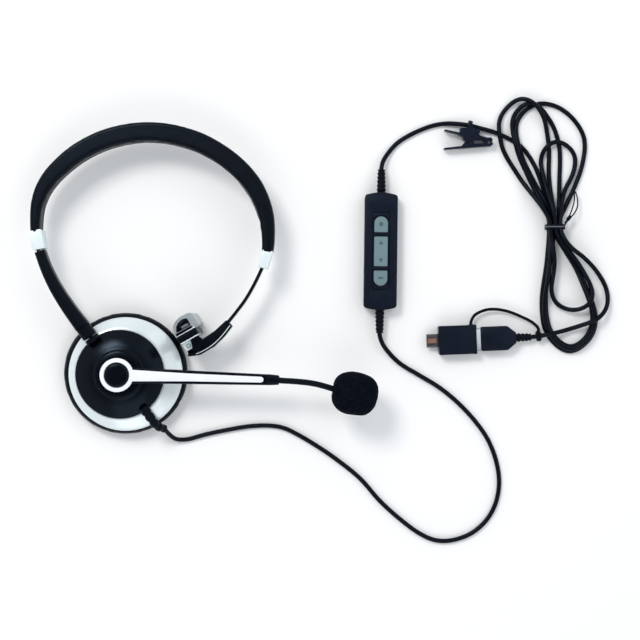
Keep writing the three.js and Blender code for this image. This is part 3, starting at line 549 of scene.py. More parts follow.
LOOKS = {
    "black_plastic": surface("satin_black", (0.0016, 0.0020, 0.0038), 0.36, grain=2800, **spec(0.13)),
    "gloss_black": surface("polished_black", (0.0012, 0.0016, 0.0030), 0.24, grain=900, depth=0.004,
                           **spec(0.17)),
    "leatherette": surface("leatherette", (0.0015, 0.0019, 0.0036), 0.38, grain=1150, depth=0.08,
                           pebbles=True, **spec(0.15)),
    "silver": surface("silver_paint", (0.74, 0.81, 0.83), 0.24, vary=0.01, smudge=9, grain=1500,
                      depth=0.0006, Metallic=0.30, Coat_Weight=0.3, Coat_Roughness=0.10),
    "inlay": surface("silver_inlay", (0.84, 0.86, 0.90), 0.34, vary=0.02, grain=1500, depth=0.003,
                     Metallic=0.05),
    "clip_silver": surface("clip_silver", (0.74, 0.83, 0.85), 0.32, vary=0.03, grain=1500, depth=0.004,
                           Metallic=0.12),
    "steel": surface("bright_steel", (0.70, 0.71, 0.74), 0.24, vary=0.06, grain=3800, depth=0.006,
                     Metallic=0.9),
    "black_steel": surface("black_steel", (0.003, 0.0036, 0.006), 0.32, grain=3000, depth=0.006,
                           Metallic=0.2, **spec(0.15)),
    "silicone": surface("clear_silicone", (0.47, 0.52, 0.54), 0.22, vary=0.12, smudge=260, grain=900,
                        Transmission_Weight=0.45, IOR=1.41),
    "rubber": surface("relief_rubber", (0.0016, 0.0020, 0.0036), 0.46, grain=2400, depth=0.03, **spec(0.12)),
    "cord_jacket": surface("cord_jacket", (0.0015, 0.0019, 0.0036), 0.38, grain=1900, **spec(0.15)),
    "foam": surface("open_foam", (0.0026, 0.0038, 0.0072), 0.93, vary=0.45, smudge=420, grain=1500,
                    depth=0.45, **spec(0.04)),
    "film": surface("speaker_film", (0.55, 0.47, 0.32), 0.25, grain=1200),
    "navy_plastic": surface("navy_plastic", (0.0052, 0.0068, 0.0140), 0.34, **spec(0.17)),
    "button_rubber": surface("button_rubber", (0.150, 0.218, 0.238), 0.50, vary=0.05, **spec(0.25)),
    "button_mark": surface("button_mark", (0.050, 0.085, 0.100), 0.50, vary=0.05, depth=0.01),
    "circuit_board": surface("board_green", (0.02, 0.10, 0.045), 0.45, grain=1500),
    "cloth": surface("speaker_cloth", (0.006, 0.007, 0.010), 0.85, vary=0.3, grain=1900, depth=0.25,
                     pebbles=True, **spec(0.12)),
    "wire_paper": surface("tie_paper", (0.09, 0.10, 0.12), 0.50, vary=0.08, grain=2000, depth=0.03),
    "tip_steel": surface("tip_steel", (0.085, 0.075, 0.08), 0.30, vary=0.1, grain=3000, depth=0.004,
                         Metallic=0.7),
    "tip_film": surface("tip_film", (0.16, 0.075, 0.06), 0.45, vary=0.15, grain=3000, depth=0.004),
    "gold": surface("contact_gold", (0.75, 0.50, 0.30), 0.30, grain=3000, depth=0.004, Metallic=0.9),
}


SATIN, NAVY = "black_plastic", "navy_plastic"


def paint(o, look):
    o.data.materials.clear()
    o.data.materials.append(LOOKS[look])


def dress(o, look, body="root", nodes=()):
    """Gives a piece its finish, sets it on its body and, where it stands for CAD nodes, hides them."""
    paint(o, look)
    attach(o, body)
    if nodes:
        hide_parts(*nodes)
    return o


paint(lower_cord, "cord_jacket")
paint(upper_cord, "cord_jacket")


MERGE_ANGLE = 0.6       # faces of the CAD that are this close to one plane are one flat face
HARD_ANGLE = 32.0       # and edges sharper than this are rounded


def refined(node, look, body, bevel):
    """A copy of a CAD solid with its flat faces merged and its hard edges rounded."""
    bm = bmesh.new()
    bm.from_mesh(NODES[node].data)
    bmesh.ops.remove_doubles(bm, verts=bm.verts, dist=2e-6)
    bmesh.ops.dissolve_limit(bm, angle_limit=math.radians(MERGE_ANGLE), verts=bm.verts, edges=bm.edges)
    hard = [e for e in bm.edges if len(e.link_faces) == 2 and e.calc_face_angle(0) > math.radians(HARD_ANGLE)]
    round_edges(bm, hard, bevel)
    return dress(from_bmesh(node + "_look", bm, HARD_ANGLE), look, body, (node,))


# ---- ear cup
SHELL_C = (-49.3, -57.1)
HUB_C = (-52.6, -57.1)
ARM_DIR = Vector((-0.601, 0.799))       # from the hub along the arm
LEAD_DIR = Vector((0.585, -0.811))      # from the hub along the lead where it leaves the cup
CUSHION_IN = 19.5
BAND_Z = 21.0                           # height of the arm's, the band's and the pad's middle
LEAD_Z = 19.3
SIM_FRAMES = 20
CLOTH = {
    "quality": 6, "mass": 0.15, "tension_stiffness": 18.0, "compression_stiffness": 18.0,
    "shear_stiffness": 6.0, "bending_stiffness": 0.25, "use_pressure": True,
}


def from_hub(direction, t, z):
    """The point t from the hub in a direction in plan, at height z."""
    return (HUB_C[0] + direction.x * t, HUB_C[1] + direction.y * t, z)


def smooth_profile(points, step):
    return [(x, y) for x, y, _ in spline(points, step)]


def upholster(o, voxel, cap, held, slack, pressure=4.0):
    """Fills a cover by cloth simulation, with the vertices that held() picks sewn down.

    The cover is a little larger than its filling, so it creases where it is sewn. Nothing moves more
    than cap.
    """
    remesh = o.modifiers.new("remesh", "REMESH")
    remesh.mode = "VOXEL"
    remesh.voxel_size = voxel * MM
    graph = bpy.context.evaluated_depsgraph_get()
    even = bpy.data.meshes.new_from_object(o.evaluated_get(graph))
    o.modifiers.clear()
    o.data = even
    bm = bmesh.new()
    bm.from_mesh(even)
    bmesh.ops.smooth_vert(bm, verts=bm.verts, factor=0.5, use_axis_x=True, use_axis_y=True,
                          use_axis_z=True)
    bm.to_mesh(even)
    bm.free()
    rest = np.array([v.co for v in even.vertices])
    sewn = [i for i, co in enumerate(rest) if held(co / MM)]
    o.vertex_groups.new(name="sewn").add(sewn, 1.0, "REPLACE")
    cloth = o.modifiers.new("cloth", "CLOTH")
    for key, value in CLOTH.items():
        setattr(cloth.settings, key, value)
    cloth.settings.uniform_pressure_force = pressure
    cloth.settings.shrink_min = slack
    cloth.settings.vertex_group_mass = "sewn"
    cloth.settings.effector_weights.gravity = 0.0
    cloth.point_cache.frame_start, cloth.point_cache.frame_end = 1, SIM_FRAMES
    for f in range(1, SIM_FRAMES + 1):
        scene.frame_set(f)
    graph = bpy.context.evaluated_depsgraph_get()
    delta = np.array([v.co for v in o.evaluated_get(graph).data.vertices]) - rest
    o.modifiers.clear()
    scene.frame_set(1)
    far = np.linalg.norm(delta, axis=1)
    delta *= np.minimum(1.0, cap * MM / np.maximum(far, 1e-12))[:, None]
    even.vertices.foreach_set("co", (rest + delta).astype(np.float32).ravel())
    even.update()
    o.vertex_groups.clear()
    o.data.shade_smooth()
    finer = o.modifiers.new("finer", "SUBSURF")
    finer.levels = finer.render_levels = 1


def ear_cushion():
    r_in = CUSHION_IN
    outline = [(r_in + 0.2, 9.6), (r_in + 0.1, 6.0), (r_in + 1.0, 2.8), (r_in + 4.0, 0.7), (28.0, 0.15),
               (31.5, 0.5), (35.0, 2.4), (37.0, 5.2), (37.75, 8.2), (37.0, 10.5)]
    body = smooth_profile(outline, 0.9) + [(35.4, 11.35), (30.0, 11.3), (r_in + 1.0, 11.0)]
    cushion = lathe("ear_cushion_cover", body, SHELL_C, 128)

    def held(p):
        r = (Vector(p[:2]) - Vector(SHELL_C)).length
        return p[2] > 9.2 or (r < r_in + 1.6 and p[2] > 5.5)

    upholster(cushion, 1.7, 0.8, held, -0.02)

    def set_aside(o):
        """The cushion hangs a little to one side of the cup, and isn't quite round."""
        stretched(o, 0, (*SHELL_C, 0), 1.004, 0.978, 1)
        return turned(o, 0, (-0.8, 0.3, 0))

    dress(set_aside(cushion), "leatherette", "root", ("ear_cushion",))
    # welts, where the cover's outer, middle and inner panels are sewn
    for name, r, z, radius, segments in [("ear_cushion_welt", 35.1, 2.35, 0.55, 160),
                                         ("ear_cushion_inner_welt", r_in + 1.2, 2.2, 0.5, 128)]:
        ring = [(r + a, z + b) for a, b in circle(radius, 9)]
        dress(set_aside(lathe(name, ring, SHELL_C, segments)), "leatherette")


def ear_cup():
    # cloth over the speaker, slightly bellied
    cloth = [(0, 6.75), (8, 6.8), (14, 7.0), (18.6, 7.3), (19.1, 7.6), (18.8, 7.95), (10, 7.95), (0, 7.95)]
    dress(lathe("speaker_cloth", cloth, SHELL_C, 96), "cloth", "root", ("speaker_grille",))

    # the silver shell leans towards the boom's hub, as the CAD one does
    z0, z1 = 11.6, 16.2
    slope = [(34.45, 12.7), (33.2, 13.55), (31.2, 14.55), (29.2, 15.55), (28.2, 16.0)]
    profile = [(33.2, z0), (34.5, z0), (34.7, 11.9), (34.7, 12.25), (34.45, 12.7),
               *smooth_profile(slope, 0.6)[1:], (27.6, z1), (26.4, z1), (12.5, z1), (12.5, 15.0),
               (26.2, 15.0), (31.2, 13.0)]
    shell = lathe("cup_shell", profile, SHELL_C, 160, sharp=50)
    for v in shell.data.vertices:
        v.co.x += (HUB_C[0] - SHELL_C[0]) * MM * min(max((v.co.z / MM - z0) / (z1 - z0), 0), 1)
    dress(shell, "silver", "root", ("silver_shell",))

    slope = [(15.6, 22.85), (18.5, 22.2), (22.0, 20.9), (24.6, 19.5), (26.2, 18.7)]
    dome = [(4.7, 17.3), (4.7, 24.5), (5.1, 24.8), (13.5, 24.8), (14.0, 24.6), (14.2, 24.1), (14.3, 23.5),
            (14.7, 23.1), (15.6, 22.85), *smooth_profile(slope, 0.7)[1:],
            (26.75, 18.3), (27.05, 17.7), (27.1, 16.9), (26.9, 16.5), (25.5, 16.5), (25.2, 17.2)]
    dress(lathe("cup_dome", dome, HUB_C, 160, sharp=42), "gloss_black", "root", ("dome",))
    # tab for the lead, lug for the arm, and the lead's strain relief
    tab = [from_hub(LEAD_DIR, t, LEAD_Z) for t in (24.6, 26.5, 28.4)]
    dress(rod("lead_tab", spline(tab, 0.5), 3.1, 24, tips=0.6), SATIN)
    lug = spline([from_hub(ARM_DIR, t, 20.3) for t in (24.6, 28.2)], 0.3)
    dress(sweep("arm_lug", lug, lambda t: rounded_rect(9.0, 7.4, 2.6, 6), tips=0.5), SATIN)
    path = [from_hub(LEAD_DIR, t, z) for t, z in [(27.6, LEAD_Z), (33.0, 18.9), (38.4, 17.2)]]
    strain_relief("lead_relief", "cup_strain_relief", path + [(-26.1, -90.6, 12.2)], 3.2, 2.5, 4)


GROOVE = 0.20           # depth of a strain relief's grooves, as a share of its radius


def strain_relief(name, node, path, r0, r1, ribs):
    """A tapering sleeve with rings round it, that stands for a CAD node."""
    def section(t):
        wave = 0.5 + 0.5 * math.cos(2 * math.pi * ribs * t)
        return circle((r0 + (r1 - r0) * t) * (1 - GROOVE * (1 - wave ** 0.5)), 24)

    dress(sweep(name, spline(path, 0.25), section, sharp=60), "rubber", "root", (node,))


BOOM_TURN = -1.8
BOOM_Z = 28.4           # height of the boom's middle
NECK_R = 1.8


def boom():
    def mirrored(half):
        return half + [(x, -y) for x, y in reversed(half) if y]

    disc = arc(10.2, 31, 329, 96)
    sides = mirrored([(12.5, -4.75), (16, -4.6), (50, -3.95), (90.4, -3.25), (90.8, -2.6)])
    arm = turned(slab("boom_arm_look", disc + sides, 26.2, 31.0, bevel=1.0, segments=4), BOOM_TURN, (*HUB_C, 0))
    dress(arm, "gloss_black", "boom", ("boom_arm",))
    strip = mirrored([(8.6, -3.5), (24, -2.95), (44, -2.35), (86.4, -1.75), (87.7, -1.2), (88.1, 0)])
    inlay = turned(slab("boom_inlay_look", strip, 30.4, 31.35, bevel=0.25), BOOM_TURN, (*HUB_C, 0))
    dress(inlay, "inlay", "boom", ("boom_inlay",))
    ring = [(7.55, 28.6), (7.55, 31.5), (7.85, 31.85), (9.5, 31.75), (10.0, 31.45), (10.2, 31.0), (10.2, 30.6),
            (9.2, 30.4), (9.2, 28.6)]
    dress(lathe("boom_ring", ring, HUB_C, 128), "inlay", "boom")
    cap = [(0, 30.4), (7.1, 30.4), (7.1, 31.9), (6.8, 32.35), (6.2, 32.6), (3.0, 32.52), (0, 32.5)]
    dress(lathe("pivot_cap_look", cap, HUB_C, 96), "gloss_black", "boom", ("pivot_cap",))

    inside, *along = in_frame(BOOM_TURN, (*HUB_C, BOOM_Z), [(x, 0, 0) for x in (95.8, 88.9, 93, 97.6)])
    collar = sweep("boom_collar", spline(along, 0.16),
                   lambda t: rounded_rect(6.6 - 1.0 * t ** 2, 5.25 - 0.6 * t ** 2, 2.1, 6), tips=0.7)
    dress(collar, SATIN, "boom", ("boom_end_collar",))

    # the flexible neck: one tube, in two lengths that meet where the neck's middle link is
    first = spline([inside, (46.6, -60.5, BOOM_Z), (52, -60.8, BOOM_Z), (56.6, -61.15, BOOM_Z)], 0.4)
    neck = rod("neck_lower", first, NECK_R, 24)
    paint(neck, "rubber")
    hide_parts("neck_base")
    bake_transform(neck)
    second = [(56.3, -61.13, BOOM_Z), (61.8, -61.7, BOOM_Z), (67, -62.6, 28.35), (72.4, -64, 28.25),
              (79.4, -66.2, 28.0)]
    tip = rod("neck_upper", spline(second, 0.4), NECK_R, 24)
    paint(tip, "rubber")
    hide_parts("neck_tip")
    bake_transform(tip)


# The foam ball, about its own middle with the neck coming in from -x.
FOAM_CENTRE = (90.1, -68.3, 27.8)
FOAM_TURN = -10
FOAM_HALVES = (13.9, 12.9, 12.9)
SQUARENESS = 2.9        # 2 would be an ellipsoid, more is nearer to a box
SQUARE_SHARE = 0.7      # how much of that shows


def windscreen():
    """Foam ball: a slightly squared ellipsoid with an uneven, porous skin, pulled in round the neck."""
    bm = bmesh.new()
    bmesh.ops.create_icosphere(bm, subdivisions=6, radius=1.0)
    for v in bm.verts:
        p = v.co.normalized()
        squared = sum(abs(x) ** SQUARENESS for x in p) ** (-1 / SQUARENESS)
        scale = SQUARE_SHARE * squared + 1 - SQUARE_SHARE
        q = Vector([x * half for x, half in zip(p, FOAM_HALVES)]) * scale
        r = q.length
        dimple = math.exp(-((p - Vector((-1, 0, 0))).length / 0.24) ** 2)
        q *= 1 - 0.045 * dimple
        lump = noise.noise(q * 0.16) * 0.30 + noise.noise(q * 0.55) * 0.16
        pore = -abs(noise.noise(q * 1.9)) * 0.26
        q *= 1 + (lump + pore) / r
        v.co = q * MM
    o = turned(from_bmesh("foam_ball", bm, 180), FOAM_TURN, FOAM_CENTRE)
    dress(o, "foam", "mic", ("foam_windscreen",))


# ---- arm, band and temple rest
# The headband's middle line and half its thickness, measured round the band in the photo.
PAD_LINE = [
    (-102.3, 27.6, 2.9), (-102.4, 34.2, 3.1), (-101.6, 44.2, 3.6), (-98.5, 53.8, 4.4), (-93.1, 62.2, 5.0),
    (-86.2, 69.3, 5.4), (-78.7, 75.4, 5.6), (-70.7, 80.3, 5.7), (-62.5, 84.1, 5.8), (-54, 86.8, 5.85),
    (-45.5, 88.5, 5.85), (-37, 89.3, 5.9), (-28.6, 89.1, 5.9), (-20.4, 88.0, 5.9), (-12.3, 86.0, 5.9),
    (-4.3, 83.3, 5.9), (3.3, 79.6, 5.85), (10.6, 75.1, 5.8), (17.6, 69.7, 5.8), (24, 63.4, 5.7),
    (29.6, 56.1, 5.5), (33.9, 47.8, 5.1), (36.8, 38.7, 4.6), (37.9, 29.2, 4.1), (37.8, 19.6, 3.6),
    (37.3, 16.4, 3.5),
]
SPRING_LINE = [(35.2, 44.2), (37.7, 32), (37.8, 19.6), (36.2, 12.5), (33.4, 5.6), (27.9, -5.4), (23.6, -12.5),
               (18.6, -19.2), (13.6, -25.4), (8.4, -31.2)]


def headband():
    line = spline([(x, y, BAND_Z) for x, y, _ in PAD_LINE], 2.0)
    steps = [math.dist(a[:2], b[:2]) for a, b in zip(PAD_LINE, PAD_LINE[1:])]
    stations = np.concatenate([[0], np.cumsum(steps)]) / sum(steps)

    def pad_half(t):
        return float(np.interp(t, stations, [p[2] for p in PAD_LINE]))

    cover = sweep("headband_cover", line, lambda t: rounded_rect(2 * pad_half(t), 13.8, 1.6, 4), sharp=70)
    ends = (Vector(line[0]), Vector(line[-1]))
    tangents = np.gradient(line, axis=0)
    tangents /= np.linalg.norm(tangents, axis=1)[:, None]
    left = np.cross([0, 0, 1.0], tangents)

    def held(p):
        """The ends are clipped, the outer face is glued down, and both edges are sewn."""
        if min((Vector(p) - e).length for e in ends) < 12.0:
            return True
        i = int(np.argmin(np.linalg.norm(line - p, axis=1)))
        side = float((p - line[i]) @ left[i])
        return side > 0.9 or abs(p[2] - BAND_Z) > 6.2

    upholster(cover, 1.15, 0.6, held, -0.008, pressure=3.0)
    dress(cover, "leatherette", "band", ("headband_pad",))

    # piping along the edges of the two faces
    t = np.linspace(0, 1, len(line))
    for name, z, share in [("band_piping_top", 27.75, 0.55), ("band_piping_bottom", 14.25, 0.55),
                           ("band_edge_top", 27.4, -0.84), ("band_edge_bottom", 14.6, -0.84)]:
        offset = np.array([pad_half(s) * share for s in t])[:, None]
        seam = line + left * offset
        seam[:, 2] = z
        dress(rod(name, spline(seam[1:-1], 1.2), 0.36, 8), "leatherette", "band")


def arm():
    def section(t):
        return rounded_rect(8.9 - 2.4 * min(t * 1.1, 1.0), 11.0, 2.4, 5)

    bends = [(-83.4, -15.8, BAND_Z), (-91.3, -3.2, BAND_Z), (-96.6, 8, BAND_Z), (-100, 17.4, BAND_Z)]
    beam = sweep("band_arm_look", spline([from_hub(ARM_DIR, 36.2, BAND_Z), *bends], 1.2), section, sharp=60)
    dress(beam, SATIN, "arm", ("band_arm",))

    barrel = spline([from_hub(ARM_DIR, t, BAND_Z) for t in np.linspace(28.6, 38.5, 12)], 0.2)
    barrel = sweep("arm_barrel", barrel, lambda t: rounded_rect(9.0, 8.6, 2.6, 6), tips=0.3)
    dress(barrel, SATIN, "arm")
    pin = spline([from_hub(ARM_DIR, t, BAND_Z) for t in (24.8, 30.0, 35.0)], 0.5)
    dress(rod("swivel_pin_look", pin, 1.4, 20), "black_steel", "root", ("arm_swivel_pin",))
    refined("adjuster_blade", "black_steel", "arm", 0.15)
    clip = refined("clip_arm_side", "clip_silver", "band", 0.45)
    # the photograph's clip is wider than the CAD one, so this is drawn out across the band
    stretched(clip, 11, (-101.3, 24.2, BAND_Z), 1.34, 1.02, 1.03)
    refined("clip_temple_side", "clip_silver", "band", 0.55)
    spring = sweep("spring_strip", spline([(x, y, BAND_Z) for x, y in SPRING_LINE], 1.5),
                   lambda t: rounded_rect(1.9, 8.0, 0.7, 4), sharp=70)
    dress(spring, "black_steel", "band", ("headband_spring",))


SLEEVE_TOP = 26.55
PAD_PLACE, PAD_TURN = (-8.8, -33.0, 0), 29.3       # the temple pad's own frame: across the bar is y


def temple_sleeve():
    outline = [(12.8, -24.0), (16.3, -27.8), (11.4, -34.2), (5.4, -40.1), (-3.2, -45.2), (-8.6, -46.0),
               (-10.4, -46.1), (-10.4, -44.4), (-7.4, -44.0), (-5.2, -43.2), (-4.9, -40.4), (-5.6, -37.6),
               (-5.0, -35.6), (-1.2, -35.4), (6.0, -30.4)]
    radii = [0.8, 0.9, 4, 4, 4, 4, 0.8, 0.6, 1.2, 0.8, 0.8, 0.8, 1.0, 2.0, 4]
    sleeve = slab("temple_sleeve_look", fillet(outline, radii, 5), 15.5, 26.5, bevel=0.7, segments=4)
    dress(sleeve, SATIN, "band", ("temple_sleeve",))
    foot = [(-4, -43.4), (-10.9, -45.3), (-12.2, -38), (-6.4, -36.6), (-4, -38)]
    dress(slab("sleeve_foot", foot, 15.5, 17.1, bevel=0.3), SATIN, "band")
    # a thin silver line along the sleeve's top: a painted highlight on the edge between its top face and its
    # outer rail
    line = [(15.0, -27.4), (10.3, -33.4), (4.6, -39.0), (-2.4, -43.3), (-5.4, -44.5)]
    line = sweep("sleeve_highlight", spline([(x, y, SLEEVE_TOP) for x, y in line], 0.8),
                 lambda t: rounded_rect(0.42, 0.16, 0.06, 3))
    dress(line, "clip_silver", "band")


def temple_pad():
    loop = [(7.4, 2.3), (8.2, 3.2), (7.9, 10.4), (6.8, 11.4), (0.6, 11.7), (-2.4, 10.9), (-4.9, 9.2),
            (-6.5, 6.8), (-6.9, 4.4), (-6.7, 3.0), (-5.6, 2.3)]
    loop = fillet(loop, [0.6, 1.2, 2.0, 1.6, 3, 3, 3, 3, 1.5, 0.8, 0.6], 5)
    hollow = [(4.3, 4.3), (4.3, 9.3), (0.8, 9.9), (-1.8, 9.2), (-3.9, 7.6), (-5.1, 5.6), (-5.2, 4.3)]
    hollow = fillet(hollow, [0.4, 1.2, 2, 2, 2, 1, 0.4], 4)
    pad = slab("temple_pad_look", loop, 0.0, 42.0, bevel=0.55, segments=4, holes=[hollow])
    dress(turned(pad, PAD_TURN, PAD_PLACE), "silicone", "tbar", ("temple_pad",))
    crescent = [(3.9, 9.1), (0.8, 9.75), (-1.8, 9.05), (-3.8, 7.5), (-4.95, 5.6), (-5.05, 4.5), (-3.4, 5.2),
                (-1.6, 7.0), (0.8, 7.7), (3.4, 7.4)]
    # a black crescent in the loop's hollow, which paints the shade inside it; the loop's core, the plate on the
    # bar, and the light strips along the bar
    parts = [
        # painted shade: a dark crescent where the hollow is in shadow
        ("pad_hollow_shade", fillet(crescent, 0.3, 2), 1.5, 41.2, "gloss_black"),
        ("pad_core", rounded_rect(5.0, 1.6, 0.6, 4, 0.6, 5.9), 2.0, 39.0, "silicone"),
        ("pad_plate", rounded_rect(10.8, 1.6, 0.45, 4, -0.9, 3.30), 0.8, 42.15, "gloss_black"),
        ("bar_strip", rounded_rect(12.0, 0.32, 0.12, 4, 0.3, 2.26), 0.9, 42.1, "clip_silver"),
        ("bar_lip", rounded_rect(12.2, 0.34, 0.12, 4, -0.4, -2.42), 18.6, 41.4, "clip_silver"),
    ]
    for name, shape, z0, z1, look in parts:
        dress(turned(slab(name, shape, z0, z1, bevel=0.12, segments=2), PAD_TURN, PAD_PLACE), look, "tbar")
    bar = slab("crossbar_look", rounded_rect(13.0, 4.3, 1.2, 6, -0.6, -0.15), 1.5, 41.6, bevel=0.6)
    dress(turned(bar, PAD_TURN, PAD_PLACE), SATIN, "tbar", ("crossbar",))
    refined("hinge_block", "clip_silver", "tbar", 0.5)
    # black cover that overlaps the sleeve's end, above it
    cover = [(-8.9, -34.6), (-5.4, -32.6), (-0.6, -35.9), (-1.2, -38.6), (-3.6, -41.6), (-7.2, -43.0),
             (-7.4, -40.9)]
    cover = fillet(cover, [0.5, 0.5, 0.9, 0.9, 1.2, 0.6, 0.5], 4)
    dress(slab("hinge_cover", cover, 26.8, 28.6, bevel=0.5), SATIN, "tbar")


# ---- controller, clip and plug
CONTROLLER, CONTROLLER_TURN = (106.5, 18.1, 0), -0.7
RELIEF_Z = 5.5
CLIP_PIVOT = (160.6, 87.4)
EYE = Vector((161.6, 95.9, 4.2))
EYE_DIR = Vector((0.976, -0.216, 0))
PLUG, PLUG_TURN = (168.6, -35.8, 0), 2.2


def controller():
    for node, bevel, slot in [("controller_base", 0.7, NAVY), ("controller_cover", 0.9, NAVY),
                              ("button_bezel", 0.3, "gloss_black")]:
        refined(node, NAVY, "root", bevel)

    tight, wide = 0.7, 4.2      # the keys' corners: the end keys are round at their outer ends
    for name, node, body, middle, length, radii in [
        ("upper_key", "button_top", "top_key", 16.4, 9.8, [tight, wide, wide, tight]),
        ("rocker_key", "volume_rocker", "rocker", -0.2, 18.3, [tight] * 4),
        ("lower_key", "button_bottom", "bottom_key", -16.6, 9.4, [wide, tight, tight, wide]),
    ]:
        key = slab(name, rounded_rect(8.5, length, radii, 8, 0, middle), 7.7, 11.3, bevel=0.75, segments=4)
        dress(turned(key, CONTROLLER_TURN, CONTROLLER), "button_rubber", body, (node,))

    # plain marks on the keys, one shape each
    for name, body, outline in [
        ("upper_mark", "top_key", rounded_rect(2.6, 2.6, 1.25, 6, 0, 16.6)),
        ("rocker_mark_up", "rocker", [(-1.5, 4.1), (1.5, 4.1), (0, 6.5)]),
        ("rocker_mark_down", "rocker", [(-1.5, -4.5), (0, -6.9), (1.5, -4.5)]),
        ("lower_mark", "bottom_key", rounded_rect(3.0, 1.2, 0.5, 4, 0, -16.4)),
    ]:
        mark = slab(name, outline, 11.15, 11.36, bevel=0.05, segments=2)
        dress(turned(mark, CONTROLLER_TURN, CONTROLLER), "button_mark", body)

    for name, node, sign, length in [("relief_up", "controller_relief_top", 1, 14.4),
                                     ("relief_down", "controller_relief_bottom", -1, 14.2)]:
        path = [(0, sign * d, RELIEF_Z) for d in (35.7, 35.7 + length * 0.5, 36.0 + length)]
        path = in_frame(CONTROLLER_TURN, CONTROLLER, path)
        strain_relief(name, node, path, 3.0, 2.4, 6)


def clothing_clip():
    upper = [(145.9, 93.3), (152.5, 91.9), (155.5, 91.3), (155.4, 93.9), (157.0, 94.3), (164.8, 94.0),
             (166.2, 92.6), (166.6, 90.8), (168.0, 89.4), (172.2, 88.2), (174.6, 88.3), (175.6, 87.0),
             (175.2, 85.8), (174.3, 85.8), (173.9, 86.5), (172.9, 86.5), (172.5, 85.8), (170.0, 85.9),
             (169.5, 87.1), (164.4, 87.2), (163.9, 86.35), (158.1, 86.4), (157.2, 87.6), (157.2, 88.8),
             (154.0, 90.4), (145.9, 92.4)]
    lower = [(145.5, 80.9), (156.2, 81.7), (166, 82.4), (174.7, 83.1), (175.7, 84.2), (175.2, 85.45),
             (174.3, 85.45), (173.9, 84.8), (172.9, 84.8), (172.5, 85.45), (170.0, 85.5), (169.5, 84.7),
             (164.4, 84.6), (163.9, 85.9)]
    # the pin's boss sits between the jaws, in a notch of the lower one
    notch = arc(2.65, -25, -139, 11, CLIP_PIVOT)
    radii = [0.3] * len(lower) + [0.03] * len(notch) + [0.3, 0.6, 0.3]
    lower += notch + [(157.3, 84.2), (156.2, 83.0), (145.5, 81.8)]
    dress(slab("clip_jaw_fixed_look", fillet(upper, 0.35, 3), 1.2, 7.0, bevel=0.3), NAVY, "clip",
          ("clip_jaw_fixed",))
    dress(slab("clip_jaw_moving_look", fillet(lower, radii, 3), 1.3, 6.9, bevel=0.3), NAVY,
          "clip_lever", ("clip_jaw_moving",))
    boss = [(0, 0.6), (2.0, 0.6), (2.35, 1.0), (2.35, 7.0), (2.0, 7.4), (0.9, 7.5), (0, 7.5)]
    dress(lathe("clip_boss", boss, CLIP_PIVOT, 32), NAVY, "clip", ("clip_pin", "clip_spring"))
    # the eye that the lead runs through, and its stem
    eye = [tuple(EYE + EYE_DIR * d) for d in np.linspace(-1.7, 1.7, 9)]
    dress(rod("clip_eye", eye, 3.1, 32, tips=0.6), NAVY, "clip")
    stem = fillet([(158.9, 92.6), (165.2, 92.2), (163.6, 95.0), (160.2, 95.4)], 0.4, 3)
    dress(slab("clip_stem", stem, 2.0, 6.4, bevel=0.3), NAVY, "clip")
    knob = [(0, 1.6), (1.3, 1.6), (1.5, 1.9), (1.5, 7.2), (1.2, 7.6), (0, 7.65)]
    dress(lathe("clip_knob", knob, (166.2, 91.9), 24), NAVY, "clip")


def plug():
    refined("usb_overmould", NAVY, "root", 0.8)
    refined("usb_shell", "steel", "root", 0.18)
    refined("adapter_body", NAVY, "adapter", 0.7)
    refined("adapter_c_plug", "tip_steel", "adapter", 0.12)
    path = in_frame(PLUG_TURN, PLUG, [(20.9, 0, 4.4), (26, 0, 4.4), (30.6, 0, 4.4)])
    strain_relief("plug_relief", "usb_strain_relief", path, 2.8, 2.3, 4)
    rim = slab("adapter_rim", rounded_rect(2.0, 18.2, 0.5, 4, -4.2, 0), 8.3, 9.1, bevel=0.2, segments=2)
    dress(turned(rim, PLUG_TURN, PLUG), NAVY, "adapter")
    # the contacts that show in the small plug's tip
    window = slab("tip_window", rounded_rect(6.2, 3.0, 0.5, 4, -30.2, 0), 5.58, 5.68, bevel=0.03, segments=1)
    dress(turned(window, PLUG_TURN, PLUG), "tip_film", "adapter")
    bm = bmesh.new()
    for row in (-0.65, 0.65):
        for k in range(5):
            at = Matrix.Translation(mm(-32.1 + 0.9 * k, row, 5.70))
            bmesh.ops.create_cube(bm, size=1.0, matrix=at @ Matrix.Diagonal(mm(0.5, 0.55, 0.08).to_4d()))
    dress(turned(from_bmesh("tip_contacts", bm), PLUG_TURN, PLUG), "gold", "adapter")


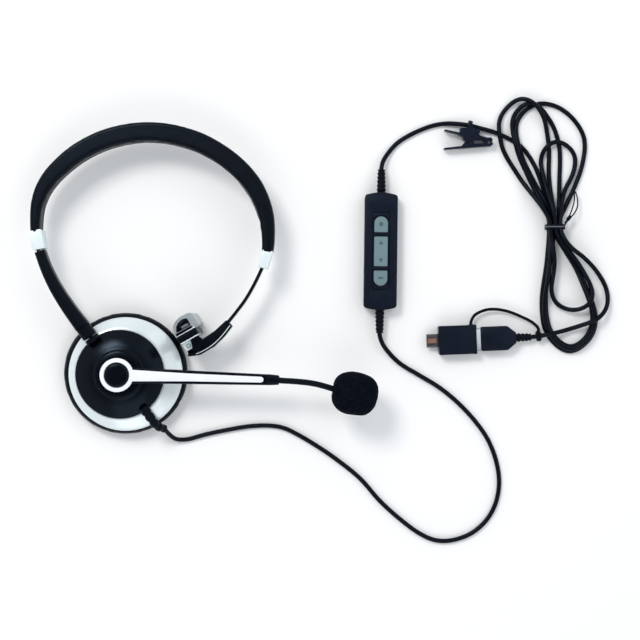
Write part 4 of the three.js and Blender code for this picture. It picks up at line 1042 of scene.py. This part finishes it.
def twist_tie():
    x, y = TIE
    # an upright band round the strands, and a stripe on it
    for name, (w, h, r), (w_in, h_in, r_in), half, bevel, segments, look, nodes, slot in [
        ("tie_band", (11.9, 9.9, 2.2), (10.9, 8.9, 1.9), 1.5, 0.15, 2, "rubber", ("twist_tie",), "rubber"),
        ("tie_stripe", (12.1, 10.1, 2.3), (11.6, 9.6, 2.1), 0.35, 0.05, 1, "wire_paper", (), None),
    ]:
        inner = rounded_rect(w_in, h_in, r_in, 6, 0, 5.15)
        o = slab(name, rounded_rect(w, h, r, 6, 0, 5.15), -half, half, bevel, segments, [inner])
        o.data.transform(Matrix.Translation(mm(x + 0.1, y, 0)) @ Matrix.Rotation(math.radians(90), 4, "X"))
        dress(o, look, "root", nodes)
    tail = [(5.4, 0.8, 8.4), (8.2, 4.6, 8.0), (12.0, 8.6, 6.4), (14.2, 13.4, 4.8), (13.2, 20.5, 5.4),
            (12.0, 22.0, 5.8), (12.2, 17.0, 5.0), (10.2, 9.6, 5.0), (8.2, 5.4, 6.0), (6.0, 2.4, 7.0)]
    tail = spline([(x + u, y + v, z) for u, v, z in tail], 0.5)
    dress(rod("tie_tail", tail, 0.42, 8), "rubber", "root")
    knot = spline([(x + 7.2, y + 3.8, 7.4), (x + 8.6, y + 5.6, 7.3), (x + 9.8, y + 6.8, 7.0)], 0.3)
    dress(rod("tie_knot", knot, 1.15, 12, tips=0.9), "rubber", "root")


def tether():
    ring_at = Vector(PLUG_LEAD[1])
    along = (Vector(PLUG_LEAD[2]) - Vector(PLUG_LEAD[0])).normalized()
    ring_path = [tuple(ring_at + along * d) for d in np.linspace(-1.7, 1.7, 15)]
    bead = rod("tether_ring_look", ring_path, 3.3, 32, tips=0.9)
    dress(bead, "rubber", "root", ("tether_ring",))
    pts = spline(TETHER, 0.8)
    strap = rod("tether", pts, 0.95, 14)
    paint(strap, "rubber")
    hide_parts("tether_strap")
    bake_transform(strap)


ear_cushion()
ear_cup()
boom()
windscreen()
headband()
arm()
temple_sleeve()
temple_pad()
controller()
clothing_clip()
plug()
twist_tie()
tether()

# ---- the CAD that is left
CAD_LOOKS = {
    "steel": ["driver_body", "shell_screw_1", "shell_screw_2", "boom_pivot_post", "controller_screw_1",
              "controller_screw_2", "mic_capsule"],
    SATIN: ["baffle_plate", "usb_tongue", "mic_housing"],
    "film": ["driver_diaphragm"], "circuit_board": ["controller_board"], "clip_silver": ["temple_hinge_pin"],
}
for look, nodes in CAD_LOOKS.items():
    for node in nodes:
        paint(NODES[node], look)
